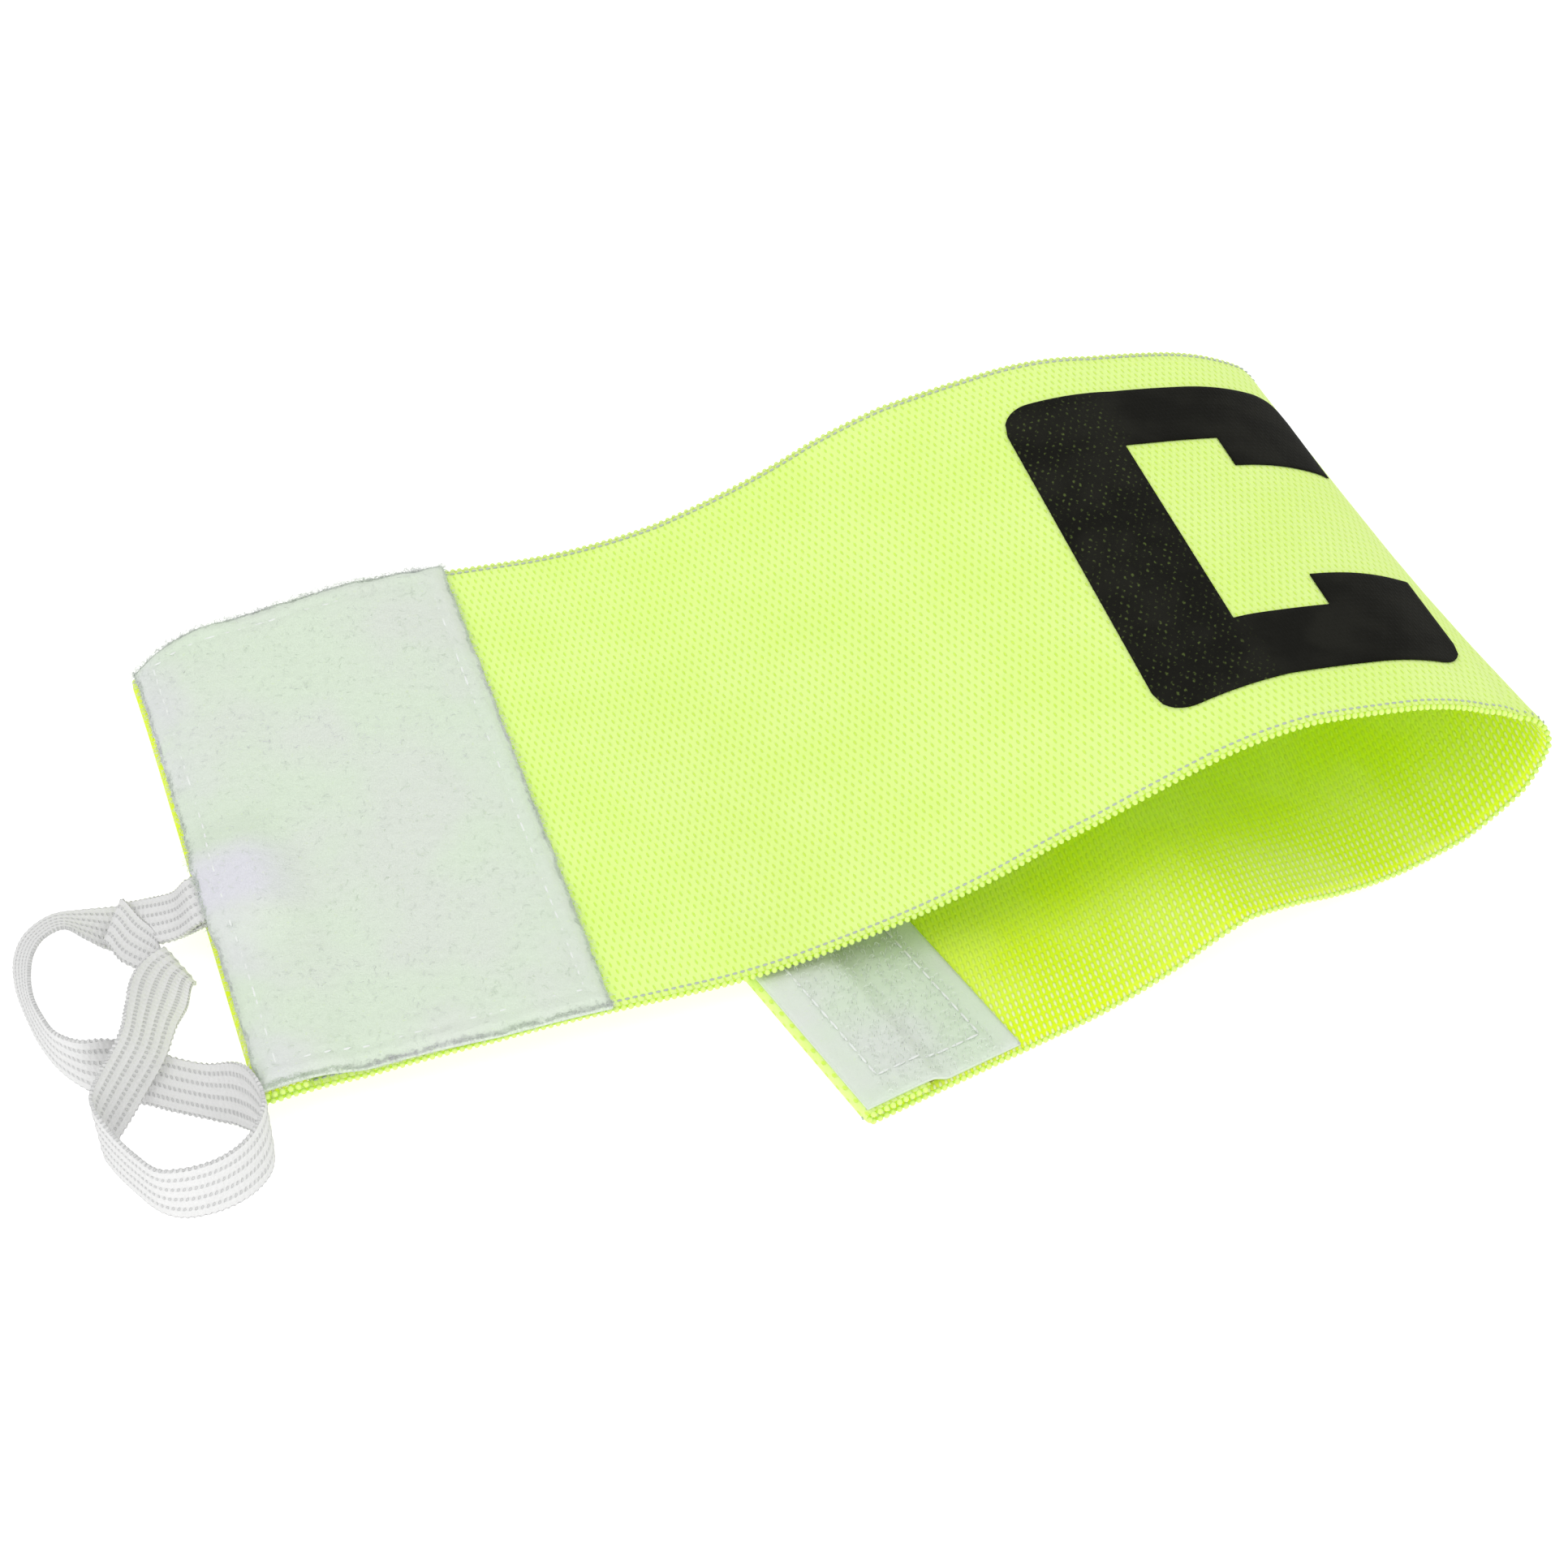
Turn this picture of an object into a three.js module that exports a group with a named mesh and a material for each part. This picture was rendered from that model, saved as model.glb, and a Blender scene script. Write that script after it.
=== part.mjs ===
import * as THREE from "three";

// Sizes of the band, in millimetres: its length runs between the folds of its two ends
const bandWidth = 92;
const bandLength = 340;
const clothThickness = 1.2;
const loopHem = 6.5;
const hookHem = 10;
const hemGap = 0.3;

// Sizes of the two fastening patches
const loopPatchLength = 50.5;
const loopPatchThickness = 1.4;
const hookPatchLength = 25;
const hookPatchThickness = 1;
const patchMargin = 0.5;
const patchEndInset = 1;
const patchStepLength = 3.5;

// Sizes of the printed block letter, centred on the band's width
const letterStart = 146;
const letterLength = 51.7;
const letterHeight = 71.5;
const strokeWidth = 16.8;
const armWidth = 14;
const lipLength = 7.5;
const lipWidth = 18.5;
const cornerRadius = 5.5;
const printThickness = 0.2;
const printGap = 0.15;

// Sizes of the elastic tape and of its two sewn ends
const tapeWidth = 9.5;
const tapeThickness = 0.8;
const tapeSewnLength = 7;
const tapeLead = 1.5;
const tapePlace = -8;
const tapeShoulder = 5;

// The gap that sewn or stacked pieces keep
const layerGap = 0.25;

// The directions in which the band lies on the table, in degrees from +X
const restHeading = -147.5;

// The way the band lies, from its loop end over the fold to its hook end. Each row is one arc: its parts
// of the length, its bend towards the inner face and its twist that lifts the far edge, in degrees
const bandArcs = [
  { parts: 7, bend: 12, twist: 3 },
  { parts: 10, bend: 4.5, twist: 1 },
  { parts: 8, bend: 5.5, twist: -0.5 },
  { parts: 7, bend: 0.5, twist: -0.5 },
  { parts: 12, bend: -17, twist: -0.5 },
  { parts: 14, bend: -14.5, twist: 1.5 },
  { parts: 7, bend: 9, twist: -0.5 },
  { parts: 9, bend: 4, twist: -3 },
  { parts: 9, bend: 20.5, twist: -3 },
  { parts: 7, bend: 4, twist: -0.5 },
  { parts: 8, bend: 21, twist: -1 },
  { parts: 3, bend: 23, twist: -2 },
  { parts: 4, bend: 70, twist: -8.5 },
  { parts: 4, bend: 26, twist: -4 },
  { parts: 6, bend: 17, twist: -1.5 },
  { parts: 6, bend: 7.5, twist: 1 },
  { parts: 8, bend: 14, twist: 2.5 },
  { parts: 7, bend: -10, twist: 2.5 },
  { parts: 6, bend: -11.5, twist: -2 },
  { parts: 9, bend: 12.5, twist: -1 },
  { parts: 19, bend: 0, twist: 0 },
];

// The tape's way from its lower sewn end round to its upper one, chosen by hand. Each row holds its two
// edges: x and y from the middle of the sewn ends where they leave the band, and z above the table
const tapeRows = [
  { a: [-7, 7, 3.4], b: [-5.2, -2.4, 2.6] },
  { a: [-11.7, 7.6, 1], b: [-9.8, -1.6, 0.8] },
  { a: [-16.3, 6.6, 0.5], b: [-15.3, -2.8, 0.6] },
  { a: [-21, 5.8, 0.5], b: [-18.8, -3, 3.2] },
  { a: [-25.8, 4.5, 0.5], b: [-21.8, -2.7, 5.2] },
  { a: [-29, 0.6, 0.5], b: [-24.3, -5.5, 6.2] },
  { a: [-29.8, -4.7, 0.5], b: [-25.2, -9.8, 7.2] },
  { a: [-28.5, -10.8, 0.5], b: [-24.8, -15, 8.2] },
  { a: [-26, -16.6, 0.5], b: [-23.5, -20.2, 9] },
  { a: [-22.8, -22.5, 0.5], b: [-21.4, -24.6, 9.5] },
  { a: [-19, -27.5, 0.5], b: [-18.7, -28.3, 9.8] },
  { a: [-14.5, -31, 0.5], b: [-15.1, -29.7, 9.5] },
  { a: [-10, -32.9, 0.5], b: [-11.6, -28.2, 8.4] },
  { a: [-5.9, -34, 0.5], b: [-8, -25.8, 4.9] },
  { a: [-1.5, -35.3, 0.5], b: [-2.8, -26.1, 2.4] },
  { a: [3.4, -36.6, 0.5], b: [2.4, -27.4, 2.4] },
  { a: [8, -37.8, 0.5], b: [7, -30, 5.6] },
  { a: [11.3, -39.3, 0.5], b: [10.9, -35.8, 9.3] },
  { a: [13.4, -42.5, 0.5], b: [12.7, -40, 9.6] },
  { a: [13.6, -47, 0.5], b: [12.5, -44.5, 9.6] },
  { a: [11, -51.2, 0.5], b: [10.7, -49, 9.7] },
  { a: [6.8, -54, 0.5], b: [7.3, -52.3, 9.8] },
  { a: [2.4, -55, 0.5], b: [3.2, -54, 9.9] },
  { a: [-0.8, -54, 0.5], b: [-0.2, -54.3, 10] },
  { a: [-4.6, -50.7, 0.5], b: [-4.1, -51.4, 10] },
  { a: [-8.7, -46.3, 0.6], b: [-8.2, -47, 10] },
  { a: [-10.3, -43.5, 0.7], b: [-11, -43, 10.2] },
  { a: [-8.9, -41.5, 1], b: [-11.9, -40, 10.1] },
  { a: [-7.2, -37.7, 1.8], b: [-11.2, -36.8, 10.5] },
  { a: [-5.4, -32.9, 2.6], b: [-10.1, -33.3, 10.9] },
  { a: [-3.6, -28.6, 3.8], b: [-9, -29.3, 11.5] },
  { a: [-2.5, -22, 4.7], b: [-9, -23.5, 11] },
  { a: [-1.4, -15, 4.9], b: [-8.6, -9.4, 5.8] },
  { a: [-1.1, -13.8, 4.7], b: [-6.9, -6.3, 4.8] },
  { a: [-0.9, -13.2, 4.2], b: [-6.7, -5.7, 4.2] },
  { a: [-1.4, -13, 3.6], b: [-7.2, -5.5, 3.6] },
  { a: [-7.9, -10.4, 3.3], b: [-9, -1, 3.3] },
  { a: [-13.1, -7.6, 3.3], b: [-11.5, 1.8, 3.3] },
  { a: [-15.7, -4, 3.3], b: [-14.3, 5.4, 3.3] },
  { a: [-16.2, -3.4, 2.7], b: [-14.8, 6, 2.7] },
  { a: [-15.8, -3.3, 2.1], b: [-14.4, 6.1, 2.1] },
  { a: [-10.7, -3.8, 2.5], b: [-10.6, 5.6, 3.4] },
  { a: [-4.8, -4.5, 4.8], b: [-6.6, 4.7, 5.6] },
];

const outerFace = clothThickness / 2;
const hemRise = clothThickness + hemGap;
const tapeStack = 2 * (tapeThickness + layerGap);
const frameCount = 340;
const rowStep = 3.4;
const foldSteps = 5;

// The band's surface as a row of frames along its middle line: x along it, y to its far edge and z out of
// its outer face
class Lay {
  constructor(arcs, length) {
    this.length = length;
    this.frames = Lay.walk(arcs, length);
    this.putOnTable();
  }

  static walk(arcs, length) {
    const total = arcs.reduce((sum, arc) => sum + arc.parts, 0);
    const step = length / frameCount;
    const frames = [new THREE.Matrix4()];
    let place = 0;
    for (let i = 0; i < frameCount; i += 1) {
      const share = ((i + 0.5) / frameCount) * total;
      while (share > place + arcs[0].parts) {
        place += arcs[0].parts;
        arcs = arcs.slice(1);
      }
      const turn = THREE.MathUtils.degToRad(total / frameCount / arcs[0].parts) / 2;
      const halfTurn = new THREE.Matrix4().makeRotationY(arcs[0].bend * turn);
      halfTurn.multiply(new THREE.Matrix4().makeRotationX(arcs[0].twist * turn));
      const next = frames[i].clone().multiply(halfTurn);
      next.multiply(new THREE.Matrix4().makeTranslation(step, 0, 0)).multiply(halfTurn);
      frames.push(next);
    }
    return frames;
  }

  // Turns and moves all frames so that the hook end lies flat, outer face down
  putOnTable() {
    const table = new THREE.Matrix4().makeRotationZ(THREE.MathUtils.degToRad(restHeading));
    table.multiply(new THREE.Matrix4().makeRotationX(Math.PI));
    table.setPosition(0, 0, outerFace);
    const move = table.multiply(this.frames[frameCount].clone().invert());
    this.frames = this.frames.map((frame) => frame.clone().premultiply(move));
  }

  // The point at u along the band, v across it from its middle line and n out of its middle surface
  at(u, v, n) {
    const place = THREE.MathUtils.clamp((u / this.length) * frameCount, 0, frameCount);
    const index = Math.min(Math.floor(place), frameCount - 1);
    const beyond = u - (place / frameCount) * this.length;
    const local = new THREE.Vector3(beyond, v, n);
    const before = local.clone().applyMatrix4(this.frames[index]);
    return before.lerp(local.applyMatrix4(this.frames[index + 1]), place - index);
  }
}

// A closed sheet over a grid of cells: face(i, j, side) is a corner point on the upper side 1 or the lower
// side -1, and keeps(i, j) says which cells are there
function sheetGeometry(rows, columns, face, keeps = () => true) {
  const inside = (i, j) => i >= 0 && j >= 0 && i < rows && j < columns && keeps(i, j);
  const positions = [];
  const addQuad = (...corners) => {
    for (const k of [0, 1, 2, 0, 2, 3]) {
      positions.push(...face(...corners[k]).toArray());
    }
  };
  for (let i = 0; i < rows; i += 1) {
    for (let j = 0; j < columns; j += 1) {
      if (!inside(i, j)) {
        continue;
      }
      addQuad([i, j, 1], [i + 1, j, 1], [i + 1, j + 1, 1], [i, j + 1, 1]);
      addQuad([i, j, -1], [i, j + 1, -1], [i + 1, j + 1, -1], [i + 1, j, -1]);
      const rims = [
        { next: [i, j - 1], from: [i, j], to: [i + 1, j] },
        { next: [i + 1, j], from: [i + 1, j], to: [i + 1, j + 1] },
        { next: [i, j + 1], from: [i + 1, j + 1], to: [i, j + 1] },
        { next: [i - 1, j], from: [i, j + 1], to: [i, j] },
      ];
      for (const { next, from, to } of rims.filter((rim) => !inside(...rim.next))) {
        addQuad([...from, -1], [...to, -1], [...to, 1], [...from, 1]);
      }
    }
  }
  const geometry = new THREE.BufferGeometry();
  geometry.setAttribute("position", new THREE.Float32BufferAttribute(positions, 3));
  geometry.computeVertexNormals();
  return geometry;
}

// Evenly spread values from one end to the other, at most step apart
function spread(from, to, step) {
  const count = Math.max(1, Math.ceil(Math.abs(to - from) / step));
  return Array.from({ length: count + 1 }, (_, i) => from + ((to - from) * i) / count);
}

// 1 up to edge, falling smoothly to 0 over the next length
function fade(value, edge, length) {
  return 1 - THREE.MathUtils.smoothstep(value, edge, edge + length);
}

function pieceMesh(name, geometry, color, roughness) {
  const mesh = new THREE.Mesh(geometry, new THREE.MeshStandardMaterial({ color, roughness, metalness: 0 }));
  mesh.name = name;
  return mesh;
}

// The middle line of the cloth seen from its edge, from one hem's tip to the other's: u and n as above
// and the angle of travel
function clothLine() {
  const radius = hemRise / 2;
  const line = spread(loopHem, 0, rowStep).slice(0, -1).map((u) => ({ u, n: hemRise, angle: Math.PI }));
  for (let k = 0; k <= foldSteps; k += 1) {
    const angle = Math.PI + (Math.PI * k) / foldSteps;
    line.push({ u: radius * Math.sin(angle), n: radius - radius * Math.cos(angle), angle });
  }
  for (const u of spread(0, bandLength, rowStep).slice(1, -1)) {
    line.push({ u, n: 0, angle: 0 });
  }
  for (let k = 0; k <= foldSteps; k += 1) {
    const angle = (-Math.PI * k) / foldSteps;
    line.push({ u: bandLength - radius * Math.sin(angle), n: radius * Math.cos(angle) - radius, angle });
  }
  const tip = bandLength - hookHem;
  line.push(...spread(bandLength, tip, rowStep).slice(1).map((u) => ({ u, n: -hemRise, angle: -Math.PI })));
  return line;
}

function makeBand(lay) {
  const line = clothLine();
  const across = spread(-bandWidth / 2, bandWidth / 2, bandWidth / 8);
  const face = (i, j, side) => {
    const { u, n, angle } = line[i];
    const half = (side * clothThickness) / 2;
    return lay.at(u - half * Math.sin(angle), across[j], n + half * Math.cos(angle));
  };
  return pieceMesh("band", sheetGeometry(line.length - 1, across.length - 1, face), 0xcdf55a, 0.85);
}

// The under side of the loop patch: over the hem, up over the sewn tape ends and down to the band
function loopPatchUnder(u, v) {
  const overHem = hemRise * fade(u, loopHem + layerGap, patchStepLength);
  const alongTape = fade(u, tapeSewnLength + layerGap, tapeShoulder);
  const acrossTape = fade(Math.abs(v - tapePlace), tapeWidth / 2 + layerGap, tapeShoulder);
  return outerFace + layerGap + overHem + tapeStack * alongTape * acrossTape;
}

function makeLoopPatch(lay) {
  const half = bandWidth / 2 - patchMargin;
  const left = tapePlace - tapeWidth / 2 - layerGap;
  const right = tapePlace + tapeWidth / 2 + layerGap;
  const along = [
    ...spread(patchEndInset, loopHem + layerGap, rowStep),
    ...spread(tapeSewnLength + layerGap, tapeSewnLength + tapeShoulder, rowStep / 3),
    ...spread(tapeSewnLength + tapeShoulder, patchEndInset + loopPatchLength, rowStep).slice(1),
  ];
  const across = [
    ...spread(-half, left - tapeShoulder, bandWidth / 8),
    ...spread(left - tapeShoulder, left, tapeShoulder / 3).slice(1),
    ...spread(left, right, tapeWidth).slice(1),
    ...spread(right, right + tapeShoulder, tapeShoulder / 3).slice(1),
    ...spread(right + tapeShoulder, half, bandWidth / 8).slice(1),
  ];
  const face = (i, j, side) => {
    const under = loopPatchUnder(along[i], across[j]);
    return lay.at(along[i], across[j], side > 0 ? under + loopPatchThickness : under);
  };
  return pieceMesh("loop_patch", sheetGeometry(along.length - 1, across.length - 1, face), 0xe4efe2, 0.95);
}

function makeHookPatch(lay) {
  const half = bandWidth / 2 - patchMargin;
  const end = bandLength - patchEndInset;
  const hemTip = bandLength - hookHem - layerGap;
  const along = [
    ...spread(end - hookPatchLength, hemTip - patchStepLength, rowStep),
    ...spread(hemTip - patchStepLength, hemTip, patchStepLength / 4).slice(1),
    ...spread(hemTip, end, rowStep).slice(1),
  ];
  const across = spread(-half, half, bandWidth / 8);
  const face = (i, j, side) => {
    const overHem = hemRise * fade(-along[i], -hemTip, patchStepLength);
    const near = -(outerFace + layerGap + overHem);
    return lay.at(along[i], across[j], side > 0 ? near : near - hookPatchThickness);
  };
  return pieceMesh("hook_patch", sheetGeometry(along.length - 1, across.length - 1, face), 0xdfe8dc, 0.8);
}

// How far an outer edge of the letter stands out from its middle, u along the band: its corners are round
function letterHalf(u) {
  const fromEnd = Math.min(u - letterStart, letterStart + letterLength - u, cornerRadius);
  const drop = cornerRadius - Math.sqrt(cornerRadius ** 2 - (cornerRadius - fromEnd) ** 2);
  return letterHeight / 2 - drop;
}

function makeLetter(lay) {
  const end = letterStart + letterLength;
  const along = [
    ...spread(letterStart, letterStart + cornerRadius, cornerRadius / 4),
    ...spread(letterStart + cornerRadius, letterStart + strokeWidth, rowStep).slice(1),
    ...spread(letterStart + strokeWidth, end - lipWidth, rowStep).slice(1),
    ...spread(end - lipWidth, end - cornerRadius, rowStep).slice(1),
    ...spread(end - cornerRadius, end, cornerRadius / 4).slice(1),
  ];
  const armEdge = letterHeight / 2 - armWidth;
  const lipEdge = armEdge - lipLength;
  const across = (u) => {
    const outer = letterHalf(u);
    return [-outer, -(outer + armEdge) / 2, -armEdge, -lipEdge, lipEdge, armEdge, (outer + armEdge) / 2, outer];
  };
  const columns = across(end).length - 1;
  const armColumns = 2;
  const keeps = (i, j) => {
    const middle = (along[i] + along[i + 1]) / 2;
    const fromEdge = Math.min(j, columns - 1 - j);
    if (middle < letterStart + strokeWidth || fromEdge < armColumns) {
      return true;
    }
    return fromEdge === armColumns && middle > end - lipWidth;
  };
  const face = (i, j, side) => {
    const under = outerFace + printGap;
    return lay.at(along[i], across(along[i])[j], side > 0 ? under + printThickness : under);
  };
  return pieceMesh("letter_print", sheetGeometry(along.length - 1, columns, face, keeps), 0x1c1c18, 0.7);
}

// The tape's rows as pairs of edge points, with the sewn ends taken from the band
function tapeEdges(lay) {
  const lower = outerFace + hemRise + layerGap + tapeThickness / 2;
  const upper = lower + layerGap + tapeThickness;
  const sewn = (u, n, farFirst) => {
    const near = lay.at(u, tapePlace - tapeWidth / 2, n);
    const far = lay.at(u, tapePlace + tapeWidth / 2, n);
    return farFirst ? { a: far, b: near } : { a: near, b: far };
  };
  const exit = lay.at(0, tapePlace, 0);
  const free = ([x, y, z]) => new THREE.Vector3(exit.x + x, exit.y + y, z);
  return [
    sewn(tapeSewnLength, lower, true),
    sewn(tapeSewnLength / 2, lower, true),
    sewn(0, lower, true),
    sewn(-tapeLead, lower, true),
    ...tapeRows.map(({ a, b }) => ({ a: free(a), b: free(b) })),
    sewn(-tapeLead, upper, false),
    sewn(0, upper, false),
    sewn(tapeSewnLength / 2, upper, false),
    sewn(tapeSewnLength, upper, false),
  ];
}

function makeTape(lay) {
  const edges = tapeEdges(lay);
  const curves = ["a", "b"].map((edge) => {
    return new THREE.CatmullRomCurve3(edges.map((row) => row[edge]), false, "centripetal");
  });
  const perRow = 3;
  const rows = (edges.length - 1) * perRow;
  const point = (i, j) => curves[j].getPoint(i / rows);
  const face = (i, j, side) => {
    const along = point(Math.min(i + 1, rows), 0).sub(point(Math.max(i - 1, 0), 0));
    along.add(point(Math.min(i + 1, rows), 1)).sub(point(Math.max(i - 1, 0), 1));
    const toB = point(i, 1).sub(point(i, 0));
    const out = toB.cross(along).normalize();
    return point(i, j).addScaledVector(out, (-side * tapeThickness) / 2);
  };
  return pieceMesh("tape_loop", sheetGeometry(rows, 1, face), 0xe8ebe8, 0.8);
}

const lay = new Lay(bandArcs, bandLength);
const pieces = [makeBand(lay), makeLoopPatch(lay), makeHookPatch(lay), makeLetter(lay)];
const armband = new THREE.Group();
armband.add(...pieces, makeTape(lay));

// The middle of the band and its patches is the origin's place on the table
const outline = new THREE.Box3();
for (const piece of pieces) {
  outline.expandByObject(piece);
}
const middle = outline.getCenter(new THREE.Vector3());
armband.position.set(-middle.x, -middle.y, -outline.min.z);

export default armband;
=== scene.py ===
"""Captain armband: a wide woven elastic band folded over once, with two fastening patches, a printed block
letter and a loop of narrow ribbed elastic. Sizes are millimetres times MM, so they are metres, and a finish
counts its pattern in millimetres of the cloth's own UV map."""
import logging
import math
from dataclasses import dataclass, field
from enum import Enum
from typing import Callable, Optional, Sequence, Union

import bpy
import numpy as np
from mathutils import Matrix, Vector


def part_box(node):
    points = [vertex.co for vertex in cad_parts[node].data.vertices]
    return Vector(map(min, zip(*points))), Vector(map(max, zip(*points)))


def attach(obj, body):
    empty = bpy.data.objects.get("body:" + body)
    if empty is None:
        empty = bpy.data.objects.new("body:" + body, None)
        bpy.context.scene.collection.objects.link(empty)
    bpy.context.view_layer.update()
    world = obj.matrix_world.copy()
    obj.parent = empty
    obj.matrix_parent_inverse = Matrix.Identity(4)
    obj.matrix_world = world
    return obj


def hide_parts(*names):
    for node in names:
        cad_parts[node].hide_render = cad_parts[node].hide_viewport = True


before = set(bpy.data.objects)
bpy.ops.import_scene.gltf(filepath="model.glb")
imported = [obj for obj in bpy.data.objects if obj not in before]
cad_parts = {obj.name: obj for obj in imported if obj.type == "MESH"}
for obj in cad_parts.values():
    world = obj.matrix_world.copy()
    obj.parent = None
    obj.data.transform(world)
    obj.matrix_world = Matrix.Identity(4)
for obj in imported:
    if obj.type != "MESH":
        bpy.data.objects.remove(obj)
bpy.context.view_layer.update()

MM = 0.001
BODY = "root"
CLOTH_UV = "cloth"
LOG = logging.getLogger("armband")

Socket = bpy.types.NodeSocket
Value = Union[float, Socket]
Colour = tuple[float, float, float]


class Layer(Enum):
    """The faces of a sheet, in the order of its material slots."""

    OUTER = 0
    INNER = 1
    RIM = 2


class Side(Enum):
    """The two long edges of the band, as the sign of its v."""

    NEAR = -1
    FAR = 1


class SmallShape(Enum):
    """The small shapes that are copied many times: the cuts of the cube they start from, and their girth."""

    BEAD = (1, 1.0)
    STITCH = (2, 0.6)


@dataclass(frozen=True)
class Arc:
    """One arc of the band's way: its parts of the length, its bend and its twist, in degrees."""

    parts: float
    bend: float
    twist: float


@dataclass(frozen=True)
class Sizes:
    """The sizes that the pieces share."""

    band_width: float = 92 * MM
    band_length: float = 340 * MM
    cloth: float = 1.2 * MM
    loop_hem: float = 6.5 * MM
    hook_hem: float = 10 * MM
    hem_gap: float = 0.3 * MM
    tape_width: float = 9.5 * MM
    tape_thickness: float = 0.8 * MM
    tape_sewn: float = 7 * MM
    tape_place: float = -8 * MM
    layer_gap: float = 0.25 * MM
    seat: float = 0.06 * MM

    @property
    def outer(self) -> float:
        """Height of the outer face over the cloth's middle."""
        return self.cloth / 2

    @property
    def hem_rise(self) -> float:
        """Height of a turned hem's middle over the cloth's middle."""
        return self.cloth + self.hem_gap


SIZES = Sizes()

BAND_ARCS = (
    Arc(7, 12, 3), Arc(10, 4.5, 1), Arc(8, 5.5, -0.5), Arc(7, 0.5, -0.5), Arc(12, -17, -0.5),
    Arc(14, -14.5, 1.5), Arc(7, 9, -0.5), Arc(9, 4, -3), Arc(9, 20.5, -3), Arc(7, 4, -0.5),
    Arc(8, 21, -1), Arc(3, 23, -2), Arc(4, 70, -8.5), Arc(4, 26, -4), Arc(6, 17, -1.5),
    Arc(6, 7.5, 1), Arc(8, 14, 2.5), Arc(7, -10, 2.5), Arc(6, -11.5, -2), Arc(9, 12.5, -1),
    Arc(19, 0, 0),
)

# The tape's way, each row its two edges: x and y from where the sewn ends leave the band, z over the table
TAPE_ROWS = (
    ((-7, 7, 3.4), (-5.2, -2.4, 2.6)), ((-11.7, 7.6, 1), (-9.8, -1.6, 0.8)),
    ((-16.3, 6.6, 0.5), (-15.3, -2.8, 0.6)), ((-21, 5.8, 0.5), (-18.8, -3, 3.2)),
    ((-25.8, 4.5, 0.5), (-21.8, -2.7, 5.2)), ((-29, 0.6, 0.5), (-24.3, -5.5, 6.2)),
    ((-29.8, -4.7, 0.5), (-25.2, -9.8, 7.2)), ((-28.5, -10.8, 0.5), (-24.8, -15, 8.2)),
    ((-26, -16.6, 0.5), (-23.5, -20.2, 9)), ((-22.8, -22.5, 0.5), (-21.4, -24.6, 9.5)),
    ((-19, -27.5, 0.5), (-18.7, -28.3, 9.8)), ((-14.5, -31, 0.5), (-15.1, -29.7, 9.5)),
    ((-10, -32.9, 0.5), (-11.6, -28.2, 8.4)), ((-5.9, -34, 0.5), (-8, -25.8, 4.9)),
    ((-1.5, -35.3, 0.5), (-2.8, -26.1, 2.4)), ((3.4, -36.6, 0.5), (2.4, -27.4, 2.4)),
    ((8, -37.8, 0.5), (7, -30, 5.6)), ((11.3, -39.3, 0.5), (10.9, -35.8, 9.3)),
    ((13.4, -42.5, 0.5), (12.7, -40, 9.6)), ((13.6, -47, 0.5), (12.5, -44.5, 9.6)),
    ((11, -51.2, 0.5), (10.7, -49, 9.7)), ((6.8, -54, 0.5), (7.3, -52.3, 9.8)),
    ((2.4, -55, 0.5), (3.2, -54, 9.9)), ((-0.8, -54, 0.5), (-0.2, -54.3, 10)),
    ((-4.6, -50.7, 0.5), (-4.1, -51.4, 10)), ((-8.7, -46.3, 0.6), (-8.2, -47, 10)),
    ((-10.3, -43.5, 0.7), (-11, -43, 10.2)), ((-8.9, -41.5, 1), (-11.9, -40, 10.1)),
    ((-7.2, -37.7, 1.8), (-11.2, -36.8, 10.5)), ((-5.4, -32.9, 2.6), (-10.1, -33.3, 10.9)),
    ((-3.6, -28.6, 3.8), (-9, -29.3, 11.5)), ((-2.5, -22, 4.7), (-9, -23.5, 11)),
    ((-1.4, -15, 4.9), (-8.6, -9.4, 5.8)), ((-1.1, -13.8, 4.7), (-6.9, -6.3, 4.8)),
    ((-0.9, -13.2, 4.2), (-6.7, -5.7, 4.2)), ((-1.4, -13, 3.6), (-7.2, -5.5, 3.6)),
    ((-7.9, -10.4, 3.3), (-9, -1, 3.3)), ((-13.1, -7.6, 3.3), (-11.5, 1.8, 3.3)),
    ((-15.7, -4, 3.3), (-14.3, 5.4, 3.3)), ((-16.2, -3.4, 2.7), (-14.8, 6, 2.7)),
    ((-15.8, -3.3, 2.1), (-14.4, 6.1, 2.1)), ((-10.7, -3.8, 2.5), (-10.6, 5.6, 3.4)),
    ((-4.8, -4.5, 4.8), (-6.6, 4.7, 5.6)),
)


def smooth_step(value: np.ndarray, low: float, high: float) -> np.ndarray:
    """A smooth rise from 0 to 1.

    Args:
        value: the numbers to map.
        low: where the rise starts.
        high: where it ends.

    Returns:
        The mapped numbers.
    """
    share = np.clip((np.asarray(value, float) - low) / (high - low), 0, 1)
    return share * share * (3 - 2 * share)


def fade(value: np.ndarray, edge: float, length: float) -> np.ndarray:
    """A smooth fall from 1 to 0.

    Args:
        value: the numbers to map.
        edge: up to here the result is 1.
        length: the fall's length after the edge.

    Returns:
        The mapped numbers.
    """
    return 1 - smooth_step(value, edge, edge + length)


def spread(low: float, high: float, step: float) -> np.ndarray:
    """Even values from low to high, at most a step apart."""
    return np.linspace(low, high, max(1, math.ceil(abs(high - low) / step)) + 1)


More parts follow.
